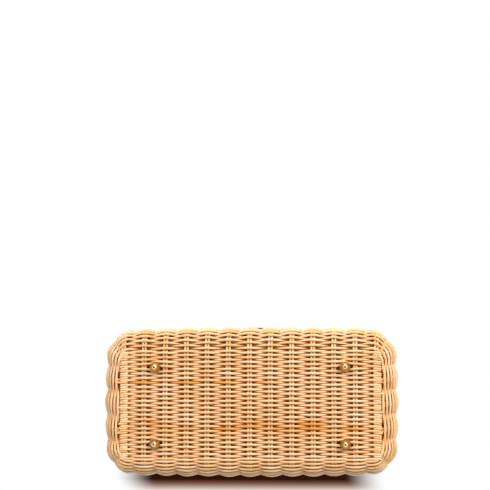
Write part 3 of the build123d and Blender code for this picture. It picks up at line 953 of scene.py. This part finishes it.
def tipTree():
    given = newTree("stakeTips", rodSizes(tips["radius"], tips["sides"]))[1]
    return rods(grained(guideCurve(given), tips["seed"]), given)


def tipLines(name, level, shift):
    chains, amber = [], []
    for side, rows in tips["rows"].items():
        for row, reach in rows.items():
            x = np.linspace(tips["start"], tips[reach], 5)
            droop = (x - tips["start"]) ** 2 * tips["droop"]
            y = np.full_like(x, row * weave["rodPitch"] + shift)
            chains.append(np.stack([side * x, y, level + droop], axis=1))
            amber.append(np.full_like(x, tips[reach + "Amber"]))
    return lineMesh(name, chains, amber=amber)


def wovenHalf(body, panelLevel, up, rimLevel, fitting):
    # the walls and the flat panel of the body (up 1) or of the lid (up -1)
    middle, shift = panelLevel + up * halfThickness, panelShift[body]
    wallHeight = abs(rimLevel - panelLevel) - weave["rise"]
    rows = weave["roundingRows"] + int(round(wallHeight / weave["rodPitch"]))
    shared = {"Level": middle, "Up": float(up), **cane}
    flatRows = {"Rows": weave["panelRows"], "Sides": panel["sides"]}
    rings = {"low": [shifted(low, shift)], "full": [full], "outward": [outward], "stake": [stakeIndex]}
    walls = lineMesh(body + "Walls", [full], True, **rings)
    flat = panelLine(body + "Panel", shift)
    pairs = stakeLines(body + "Stakes", up, panelLevel, rimLevel, shift)
    loops = selvedgeLines(body + "Selvedge", middle, up, shift)
    made = [
        grow(guide.name, guide, tree, values, body)
        for guide, tree, values in (
            (walls, wallTree, {**shared, "Rows": rows}),
            (flat, panelTree, {**shared, **flatRows, **fitting}),
            (pairs, pairTree, cane),
            (loops, loopTree, {**flatRows, **cane}),
        )
    ]
    return made[0]


loopTree = selvedgeTree()
fitting = {
    "Fitting X": frontFoot.x,
    "Fitting Y": footMiddle - frontFoot.y,
    "Fitting Push": panel["fittingPush"],
    "Stain": 1.0,
}
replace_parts(wovenHalf("body", bodyLow.z, 1, bodyHigh.z, fitting), "wicker_body")
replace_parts(wovenHalf("lid", lidHigh.z, -1, lidLow.z, {}), "wicker_lid")
tipGuide = tipLines("bodyStakeTips", bodyLow.z + tips["radius"], panelShift["body"])
grow("bodyStakeTips", tipGuide, tipTree(), cane, "body")


rim = {
    "rodRadius": 1.2 * millimetre,
    "turns": 318,
    "pointsPerTurn": 10,
    "sides": 6,
    "halfWidth": 3.0 * millimetre,
    "halfHeight": 1.8 * millimetre,
    "squareness": 0.7,
    "toneSpread": 0.6,
    "toneLow": 0.2,
    "grain": 1.3,
}


def wrapTree():
    # cane wound round a closed line: a flattened spiral with its long side across the wall
    inputs = {
        "Turns": (whole, rim["turns"]),
        "Points": (whole, rim["turns"] * rim["pointsPerTurn"]),
        "Half Width": (number, rim["halfWidth"]),
        "Half Height": (number, rim["halfHeight"]),
        **rodSizes(rim["rodRadius"], rim["sides"]),
    }
    tree, given = newTree("wrap", inputs)
    inputs = {"Curve": guideCurve(given), "Count": given["Points"]}
    curve = put(tree, "GeometryNodeResampleCurve", inputs, mode="COUNT").outputs[0]
    index = put(tree, "GeometryNodeInputIndex").outputs[0]
    share = calc("DIVIDE", times(index, given["Turns"]), given["Points"])
    turn = times(share, 2 * math.pi)

    def squared(value):
        # pushes a circle's coordinate out towards a rounded box
        return times(calc("POWER", calc("ABSOLUTE", value), rim["squareness"]), calc("SIGN", value))

    outwards = vectorCalc("NORMALIZE", keptVector(tree, "outward"))
    sideways = scaled(outwards, times(squared(calc("COSINE", turn)), given["Half Width"]))
    lift = point(0.0, 0.0, times(squared(calc("SINE", turn)), given["Half Height"]))
    seed = chance(tree, calc("FLOOR", share), 3)
    curve = stored(curve, "seed", calc("MULTIPLY_ADD", seed, rim["toneSpread"], rim["toneLow"]))
    curve = stored(curve, "along", times(share, rim["grain"]))
    return rods(moved(curve, Offset=vectorCalc("ADD", sideways, lift)), given)


coilTree = wrapTree()
for rimNode, body in (("body_rim", "body"), ("lid_rim", "lid")):
    rimLow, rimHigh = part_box(rimNode)
    line = full + np.array([0, 0, (rimLow.z + rimHigh.z) / 2])
    name = body + "Rim"
    guide = lineMesh(name, [line], True, outward=[outward])
    piece = grow(name, guide, coilTree, cane, body)
    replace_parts(piece, rimNode)


leather = {
    "edgeRound": 0.3 * millimetre,
    "sharpAngle": 40,
    "margin": 2.4 * millimetre,
    "tabMargin": 1.7 * millimetre,
    "cornerRadius": 5.6 * millimetre,
    "tabCorner": 2.2 * millimetre,
    "tabOverlap": 1.0 * millimetre,  # the tab's head reaches this far over its patch
}
stitch = {
    "pitch": 3.2 * millimetre,
    "length": 2.3 * millimetre,
    "radius": 0.34 * millimetre,
    "slant": 0.16,
    "lift": 0.08 * millimetre,
}


def newPiece(name, mesh, body, slot):
    mesh.materials.append(materials[slot])
    piece = linked(name, mesh)
    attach(piece, body)
    print(name, "faces:", len(mesh.polygons))
    return piece


def softEdged(name, node, body):
    # the frame's own shape of a leather piece, its cut edges rounded over and marked for wear
    shape = bmesh.new()
    shape.from_mesh(nodes[node].data)
    bmesh.ops.remove_doubles(shape, verts=shape.verts, dist=1e-6)
    bmesh.ops.dissolve_limit(shape, angle_limit=math.radians(1), verts=shape.verts, edges=shape.edges)
    limit = math.radians(leather["sharpAngle"])
    sharp = [e for e in shape.edges if len(e.link_faces) == 2 and e.calc_face_angle() > limit]
    settings = {"profile": 0.5, "affect": "EDGES", "clamp_overlap": True}
    made = bmesh.ops.bevel(shape, geom=sharp, offset=leather["edgeRound"], segments=3, **settings)
    shape.faces.index_update()
    worn = {face.index for face in made["faces"]}
    bmesh.ops.recalc_face_normals(shape, faces=shape.faces)
    mesh = bpy.data.meshes.new(name)
    flags = [1.0 if face.index in worn else 0.0 for face in shape.faces]
    shape.to_mesh(mesh)
    shape.free()
    mesh.attributes.new("edge", "FLOAT", "FACE").data.foreach_set("value", flags)
    mesh.shade_smooth()
    mesh.set_sharp_from_angle(angle=limit)
    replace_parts(newPiece(name, mesh, body, "dark_leather"), node)


def stitchTree():
    # a slanted stitch every pitch along each guide line, half sunk in the leather
    labels = {"Pitch": "pitch", "Length": "length", "Thread Radius": "radius", "Slant": "slant"}
    tree, given = newTree("stitchRun", {label: (number, stitch[size]) for label, size in labels.items()})
    inputs = {"Curve": guideCurve(given), "Length": given["Pitch"]}
    curve = put(tree, "GeometryNodeResampleCurve", inputs, mode="LENGTH").outputs[0]
    single = put(tree, "GeometryNodeMeshUVSphere", {"Segments": 8, "Rings": 6, "Radius": 1.0}).outputs[0]
    size = point(times(given["Length"], 0.5), given["Thread Radius"], given["Thread Radius"])
    single = put(tree, "GeometryNodeTransform", {"Geometry": single, "Scale": size}).outputs[0]
    tangent = put(tree, "GeometryNodeInputTangent").outputs[0]
    aside = vectorCalc("CROSS_PRODUCT", keptVector(tree, "away"), tangent)
    slanted = vectorCalc("ADD", tangent, scaled(aside, given["Slant"]))
    turn = put(tree, "FunctionNodeAlignRotationToVector", {"Vector": slanted}, axis="X").outputs[0]
    inputs = {"Points": curve, "Instance": single, "Rotation": turn}
    return closeTree(put(tree, "GeometryNodeInstanceOnPoints", inputs).outputs[0], given)


def rounded(corners, radius, steps=6):
    # an open line with its inner corners rounded
    corners = np.array(corners, float)
    points = [corners[0]]
    for before, corner, after in zip(corners, corners[1:], corners[2:]):
        start, end = (corner + (p - corner) / np.linalg.norm(p - corner) * radius for p in (before, after))
        for share in np.linspace(0, 1, steps + 1):
            points.append((1 - share) ** 2 * start + 2 * share * (1 - share) * corner + share**2 * end)
    return np.array(points + [corners[-1]])


def stitched(name, lines, body, away=zero):
    guide = lineMesh(name, lines, away=[np.tile(away, (len(line), 1)) for line in lines])
    grow(name, guide, seamTree, {"Material": thread}, body)


def onFront(flat, level):
    # a line drawn in X and Z laid on a face of the front
    return np.stack([flat[:, 0], np.full(len(flat), level), flat[:, 1]], axis=1)


seamTree = stitchTree()
for name, node, body in (
    ("frontPatchLeather", "front_patch", "body"),
    ("lidPatchLeather", "lid_patch", "lid"),
    ("tabLeather", "closure_tab", "lid"),
):
    softEdged(name, node, body)
outOfFront = (0.0, -1.0, 0.0)
for name, node, body, openEnd in (
    ("frontPatchStitches", "front_patch", "body", 1),
    ("lidPatchStitches", "lid_patch", "lid", -1),
):
    patchLow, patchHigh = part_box(node)
    side = patchHigh.x - leather["margin"]
    far, near = (patchLow.z, patchHigh.z)[::openEnd]
    far += openEnd * leather["margin"]
    near -= openEnd * leather["margin"]
    flat = rounded([(-side, near), (-side, far), (side, far), (side, near)], leather["cornerRadius"])
    stitched(name, [onFront(flat, patchLow.y + stitch["lift"])], body, outOfFront)

tabLow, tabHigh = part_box("closure_tab")
magnetLevel = middleOf("tab_magnet").z
tipRadius = magnetLevel - tabLow.z - leather["tabMargin"]
headSide, headTop = tabHigh.x - leather["tabMargin"], tabHigh.z - leather["tabMargin"]
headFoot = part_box("lid_patch")[0].z + leather["tabOverlap"] + leather["tabMargin"]
turns = np.linspace(0, math.pi / 2, 12)
tip = [(tipRadius * math.sin(a), magnetLevel - tipRadius * math.cos(a)) for a in turns]
head = [(tipRadius, headFoot), (headSide, headFoot), (headSide, headTop), (0, headTop)]
half = rounded(tip[-1:] + head, leather["tabCorner"])
rightHalf = np.concatenate([np.array(tip[:-1]), half])
leftHalf = (rightHalf * [-1, 1])[::-1]
line = onFront(np.concatenate([rightHalf, leftHalf[1:]]), tabLow.y)
stitched("tabStitches", [line], "lid", outOfFront)


grip = {
    "bend": 46.0 * millimetre,
    "held": 12.6 * millimetre,  # how much of each end stands in its ferrule
    "sides": 36,
    "step": 1.0 * millimetre,
    "groove": 0.55 * millimetre,
    "lip": 0.30 * millimetre,
    "crease": 0.22 * millimetre,
    "creasePitch": 2.6 * millimetre,
    "stitchAngle": 0.40,
    "stitchSunk": 0.05 * millimetre,
    "fadeLength": 3.0 * millimetre,
    "lipAngle": 0.30,
    "lipWidth": 0.16,
    "grooveWidth": 0.10,
    "wear": 0.08 * millimetre,
    "wander": 1.7,  # the creases wander along the arch and slant round it
    "slant": 2.0,
    "wanderWaves": 310,  # radians for each metre of the arch
    "wearWaves": (95, 40),
}
gripLow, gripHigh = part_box("handle_grip")
gripRadius = (gripHigh.y - gripLow.y) / 2


def archPath():
    # centre line of the arch, the way inwards from it and how far along it each point is
    span, crown, bend = gripHigh.x - gripRadius, gripHigh.z - gripRadius, grip["bend"]
    turns = np.linspace(math.pi, math.pi / 2, int(bend * math.pi / 2 / grip["step"]))
    points = [(-span, z) for z in np.arange(gripLow.z, crown - bend, grip["step"])]
    inward = [(1.0, 0.0)] * len(points)
    points += [(-span + bend + bend * math.cos(a), crown - bend + bend * math.sin(a)) for a in turns]
    inward += [(-math.cos(a), -math.sin(a)) for a in turns]
    flat = [(x, crown) for x in np.arange(-span + bend, 0, grip["step"])[1:]]
    points, inward = np.array(points + flat), np.array(inward + [(0.0, -1.0)] * len(flat))
    points = np.concatenate([points, (points * [-1, 1])[::-1]])
    inward = np.concatenate([inward, (inward * [-1, 1])[::-1]])
    lengths = np.concatenate([[0], np.cumsum(np.linalg.norm(np.diff(points, axis=0), axis=1))])
    return points, inward, lengths


def gripSurface(angle, share, length, total):
    # radius of the leather at an angle from the seam, which lies on the inside of the arch
    free = min(length, total - length) - grip["held"]
    fade = min(max(free / grip["fadeLength"], 0.0), 1.0)
    near = abs(math.remainder(angle, 2 * math.pi))
    lip = grip["lip"] * math.exp(-(((near - grip["lipAngle"]) / grip["lipWidth"]) ** 2))
    seam = lip - grip["groove"] * math.exp(-((near / grip["grooveWidth"]) ** 2))
    bent = math.sin(math.pi * share) ** 0.5 * max(math.cos(angle), 0.0) ** 2
    wander = grip["wander"] * math.sin(length * grip["wanderWaves"])
    wave = math.sin(2 * math.pi * length / grip["creasePitch"] + wander + near * grip["slant"])
    wavesAlong, wavesRound = grip["wearWaves"]
    wear = grip["wear"] * math.sin(length * wavesAlong + 2 * math.sin(angle + length * wavesRound))
    return gripRadius + fade * (seam - grip["crease"] * bent * max(wave, 0.0) ** 2 + wear)


def closedSkin(name, rings):
    # a smooth mesh over rings of points, with a face at each end and its normals outwards
    count = len(rings[0])
    faces = [tuple(range(count))[::-1], tuple((len(rings) - 1) * count + k for k in range(count))]
    walls = []
    for i in range(len(rings) - 1):
        for k in range(count):
            a, b = i * count + k, i * count + (k + 1) % count
            walls.append((a, b, b + count, a + count))
    mesh = bpy.data.meshes.new(name)
    mesh.from_pydata([tuple(p) for ring in rings for p in ring], [], walls + faces)
    shape = bmesh.new()
    shape.from_mesh(mesh)
    bmesh.ops.recalc_face_normals(shape, faces=shape.faces)
    shape.to_mesh(mesh)
    shape.free()
    mesh.shade_smooth()
    return mesh


def gripPiece():
    points, inward, lengths = archPath()
    total, sides = lengths[-1], grip["sides"]
    margin = grip["held"] + grip["fadeLength"]
    rings, seams = [], {-1: [], 1: []}
    for (x, z), (ix, iz), length in zip(points, inward, lengths):

        def onSkin(angle, sunk=0.0):
            radius = gripSurface(angle, length / total, length, total) - sunk
            across = radius * math.cos(angle)
            return (x + ix * across, radius * math.sin(angle), z + iz * across)

        rings.append([onSkin(2 * math.pi * k / sides) for k in range(sides)])
        if margin < length < total - margin:
            for side, seam in seams.items():
                seam.append(onSkin(side * grip["stitchAngle"], grip["stitchSunk"]))
    mesh = closedSkin("gripLeather", rings)
    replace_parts(newPiece("gripLeather", mesh, "handle", "dark_leather"), "handle_grip")
    stitched("gripStitches", [np.array(seams[side]) for side in (-1, 1)], "handle")


gripPiece()


lining = {
    "outerInset": 7.0 * millimetre,
    "thickness": 1.2 * millimetre,
    "boardLevel": 10.0 * millimetre,
    "wallStep": 3.0 * millimetre,
    "fold": 0.55 * millimetre,
    "hemDepth": 9.0 * millimetre,
    "hemThickness": 0.5 * millimetre,
    "hemStep": 0.4 * millimetre,
    "hemStitch": 1.6 * millimetre,
    "floorRings": (0.03, 0.25, 0.5, 0.75, 0.95),
    "corners": (12.5, 17.7),  # where the cloth gathers, in stakes along half the ring
    "cornerWidth": 1.6,
    # waves of the cloth: radians for each stake round the ring, and for each metre up the wall
    "gatherWaves": (9.0, 60),
    "slackWaves": (1.3, 70),
    "crossWaves": (0.4, 55),
    "gathered": 0.8,
    "slack": 0.6,
    "bulge": 0.4,
    "riseLength": 12.0 * millimetre,
    "hemFade": 6.0 * millimetre,
}


def liningRing(shift, spread, inset):
    inner = full - outward * (inset - halfThickness)
    lowRing = shifted(low, shift)
    return lowRing + (inner - lowRing) * spread


def liningFolds(index, climbed, depth):
    # slack in the cloth: gathers at the corners, long shallow waves between them, a hem at the mouth
    place = np.mod(index, stakeCount / 2)
    corner = sum(np.exp(-(((place - at) / lining["cornerWidth"]) ** 2)) for at in lining["corners"])
    gatherRound, gatherUp = lining["gatherWaves"]
    slackRound, slackUp = lining["slackWaves"]
    crossRound, crossUp = lining["crossWaves"]
    gather = np.sin(index * gatherRound + climbed * gatherUp) * corner
    slack = np.sin(index * slackRound + 2 * np.sin(climbed * slackUp))
    slack = slack * np.sin(climbed * crossUp + index * crossRound)
    aboveFloor = min(climbed / lining["riseLength"], 1.0)
    underHem = min(max(depth - lining["hemDepth"], 0.0) / lining["hemFade"] + 0.15, 1.0)
    fade = aboveFloor * underHem
    hem = lining["hemThickness"] * (1.0 if depth < lining["hemDepth"] else 0.0)
    waves = lining["gathered"] * gather + lining["slack"] * slack + lining["bulge"]
    return lining["fold"] * waves * fade + hem


def liningPiece(name, node, panelLevel, up, rimLevel, shift, body):
    height = abs(rimLevel - panelLevel)
    wall = np.arange(weave["rise"], height, lining["wallStep"])
    hemStart = height - lining["hemDepth"]
    wall = np.sort(np.append(wall, [hemStart - lining["hemStep"], hemStart + lining["hemStep"], height]))
    centre = np.array([0, shift, 0])
    faces = []
    for depth in (0.0, lining["thickness"]):
        floorInset = lining["boardLevel"] + depth
        rise = weave["rise"] - floorInset
        stack = [(shrink, 0.0, floorInset) for shrink in lining["floorRings"]]
        stack += [(1.0, math.sin(t), floorInset + rise * (1 - math.cos(t))) for t in quarter]
        stack += [(1.0, 1.0, level) for level in wall[1:]]
        rings = []
        for shrink, spread, level in stack:
            ring = centre + (liningRing(shift, spread, lining["outerInset"] + depth) - centre) * shrink
            if depth:
                push = liningFolds(stakeIndex, level - floorInset, height - level) * spread
                ring = ring - outward * push[:, None]
            ring[:, 2] = panelLevel + up * level
            rings.append(ring)
        faces.append(rings)
    mesh = closedSkin(name, faces[0] + faces[1][::-1])
    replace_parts(newPiece(name, mesh, body, "lining_cloth"), node)
    hemLine = liningRing(shift, 1.0, lining["outerInset"] + lining["thickness"] + lining["hemThickness"])
    hemLine[:, 2] = rimLevel - up * (lining["hemDepth"] - lining["hemStitch"])
    hemLine = np.concatenate([hemLine, hemLine[:1]])
    stitched(name + "Stitches", [hemLine], body)


liningPiece("bodyLining", "body_lining", bodyLow.z, 1, bodyHigh.z, panelShift["body"], "body")
liningPiece("lidLining", "lid_lining", lidHigh.z, -1, lidLow.z, 0.0, "lid")


# a painted shadow that glows from the surface the bag lies on in the main view
shade = {
    "start": 0.04,
    "reach": -0.25,
    "fullHalf": 0.084,
    "fadeHalf": 0.120,
    "lean": 0.085,
    "narrowing": 0.8,
    "deepShade": (0.02, 0.004, 0.0015),  # closest to the bag
    "falloff": 1.9,
    "stops": 9,
}
stage = {
    "floorHalf": 6.0,
    "lieLevel": bodyHigh.y + 1.5 * millimetre,
    "lieReach": 3.0,
    "floorGap": 0.5 * millimetre,
    "stripHalf": 0.126,
    "stripInner": 5.5 * millimetre,
    "stripOuter": 1.5 * millimetre,
    "footprint": (0.105, 0.040, 10.0),
    # a painted contact shadow round the standing bag's footprint
    "contactShadowReach": 0.10,
    "contactShadow": (0.20, 0.21, 0.24),
    "pale": (0.86, 0.86, 0.86),
}


def shownToCamera(tree, surface):
    # seen only by the camera and only from its front side, so that it hides nothing from behind
    behind = put(tree, "ShaderNodeNewGeometry").outputs["Backfacing"]
    looked = put(tree, "ShaderNodeLightPath").outputs["Is Camera Ray"]
    clear = put(tree, "ShaderNodeBsdfTransparent").outputs[0]
    inputs = {0: times(looked, minus(1.0, behind)), 1: clear, 2: surface.outputs[0]}
    setInputs(tree.nodes["Material Output"], {0: put(tree, "ShaderNodeMixShader", inputs).outputs[0]})


def floorMaterial():
    # pale, with a painted contact shadow close round the standing bag
    material, tree, shader = newMaterial("floor", {"Roughness": 0.6})
    outside = vectorCalc("SUBTRACT", vectorCalc("ABSOLUTE", objectPlace(tree)), stage["footprint"])
    distance = vectorCalc("LENGTH", vectorCalc("MAXIMUM", outside, zero), out=1)
    outOfShadow = ranged(distance, 0.0, stage["contactShadowReach"], interpolation_type="SMOOTHSTEP")
    setInputs(shader, {"Base Color": blended(outOfShadow, stage["contactShadow"], stage["pale"])})
    shownToCamera(tree, shader)
    return material


def shadeMaterial():
    # the surface that the bag lies on in the main view glows white, with the bag's soft shadow painted in
    # front of it; no lamp lights it
    material, tree = newMaterial("lyingPaintedShadow", {"Base Color": (0.0, 0.0, 0.0, 1.0)})[:2]
    axes = axesOf(objectPlace(tree))
    stops = [i / (shade["stops"] - 1) for i in range(shade["stops"])]
    fading = [(s, tuple(c ** (s ** shade["falloff"]) for c in shade["deepShade"])) for s in stops]
    tone = ramp(ranged(axes[2], shade["reach"], shade["start"]), fading)
    # the painted shadow runs towards the camera's side, so it narrows and leans as it goes forward
    leaning = calc("MULTIPLY_ADD", axes[2], shade["lean"], axes[0])
    narrowed = calc("MULTIPLY_ADD", axes[2], -shade["narrowing"], 1.0)
    aside = times(calc("ABSOLUTE", leaning), narrowed)
    within = ranged(aside, shade["fullHalf"], shade["fadeHalf"], 1.0, 0.0, interpolation_type="SMOOTHSTEP")
    # the glow is white away from the bag and takes the painted shadow's tones near it
    glow = put(tree, "ShaderNodeEmission", {0: blended(within, (1.0, 1.0, 1.0), tone)})
    shownToCamera(tree, glow)
    return material


def plane(name, corners, material):
    mesh = bpy.data.meshes.new(name)
    mesh.from_pydata(corners, [], [tuple(range(len(corners)))])
    mesh.materials.append(material)
    linked(name, mesh)


half, lie, reach, top = stage["floorHalf"], stage["lieLevel"], stage["lieReach"], -stage["floorGap"]
plane("floor", [(-half, -half, 0), (half, -half, 0), (half, half, 0), (-half, half, 0)], floorMaterial())
lyingPaint = shadeMaterial()
corners = [(-reach, lie, -reach), (reach, lie, -reach), (reach, lie, top), (-reach, lie, top)]
plane("glowingLyingSurface", corners, lyingPaint)
# a level strip that faces down carries the painted shadow on behind the bottom rounding
side, level = stage["stripHalf"], bodyLow.z + weave["rise"]
inner, outer = lie - stage["stripInner"], lie + stage["stripOuter"]
corners = [(-side, inner, level), (-side, outer, level), (side, outer, level), (side, inner, level)]
plane("paintedShadowStrip", corners, lyingPaint)


# place, target, size, power
lamps = {
    "overhead": ((0.0, -1.35, 0.35), (0, 0, 0.02), 1.2, 9),
    "underLeft": ((-0.8, -0.6, -1.1), (0, 0, 0.0), 0.7, 12.5),
    "underRight": ((0.9, -0.6, -1.0), (0, 0, 0.0), 0.7, 19),
    "key": ((-0.9, -1.3, 1.5), (0, 0, 0.1), 1.0, 12),
    "fill": ((1.5, -0.7, 0.9), (0, 0, 0.1), 1.2, 7),
    "back": ((0.2, 1.6, 1.3), (0, 0, 0.12), 1.2, 12),
}
for name, (place, target, size, power) in lamps.items():
    lamp = bpy.data.lights.new(name, "AREA")
    lamp.energy, lamp.size = power, size
    turn = (Vector(target) - Vector(place)).to_track_quat("-Z", "Y").to_matrix().to_4x4()
    linked(name, lamp).matrix_world = Matrix.Translation(place) @ turn

tent = {
    "ambient": 0.45,
    "ambientRise": (-0.9, -0.1),
    "fromBelow": 0.22,
    "behind": 0.3,  # share of the light from below that is left behind the bag
    "behindRise": (-0.3, 0.3),
    "shine": 1.15,
    "opening": (-0.96, -0.86),
    "openingShine": 0.02,
    "bandLevel": -0.25,
    "bandHalf": (0.17, 0.27),
    "bandShine": 0.4,
}


def whiteWorld():
    # a white surround for the camera; as a light it is weaker, and weakest from under the bag;
    # metal mirrors a bright tent with a dark opening straight below and a dim band for the floor
    world = bpy.data.worlds.new("studio")
    bpy.context.scene.world = world
    world.use_nodes = True
    tree = world.node_tree
    rays = put(tree, "ShaderNodeLightPath").outputs
    axes = axesOf(put(tree, "ShaderNodeTexCoord").outputs["Generated"])
    dim, shine = tent["fromBelow"], tent["shine"]
    under = ranged(axes[1], *tent["behindRise"], dim, dim * tent["behind"])
    ambient = ranged(axes[2], *tent["ambientRise"], under, tent["ambient"])
    fromBand = calc("ABSOLUTE", minus(axes[2], tent["bandLevel"]))
    band = ranged(fromBand, *tent["bandHalf"], tent["bandShine"], shine)
    mirrored = calc("MINIMUM", ranged(axes[2], *tent["opening"], tent["openingShine"], shine), band)
    power = put(tree, "ShaderNodeMix", {0: rays["Is Glossy Ray"], 2: ambient, 3: mirrored}).outputs[0]
    power = put(tree, "ShaderNodeMix", {0: rays["Is Camera Ray"], 2: power, 3: 1.0}).outputs[0]
    setInputs(tree.nodes["Background"], {0: (1.0, 1.0, 1.0, 1.0), 1: power})


whiteWorld()
bpy.context.scene.view_settings.view_transform = "Standard"

view = {
    "place": (0.088, 0.005, -1.44),
    "aim": (-0.0043, -0.1398, 0.009),
    "lens": 119.5,
    "sensor": 36.0,
}


def addCamera():
    lens = bpy.data.cameras.new("camera")
    lens.lens, lens.sensor_width = view["lens"], view["sensor"]
    forward = (Vector(view["aim"]) - Vector(view["place"])).normalized()
    right = forward.cross(Vector((0, -1, 0))).normalized()
    turn = Matrix((right, right.cross(forward), -forward)).transposed().to_4x4()
    holder = linked("camera", lens)
    holder.matrix_world = Matrix.Translation(view["place"]) @ turn
    bpy.context.scene.camera = holder


addCamera()
print("stage ready")
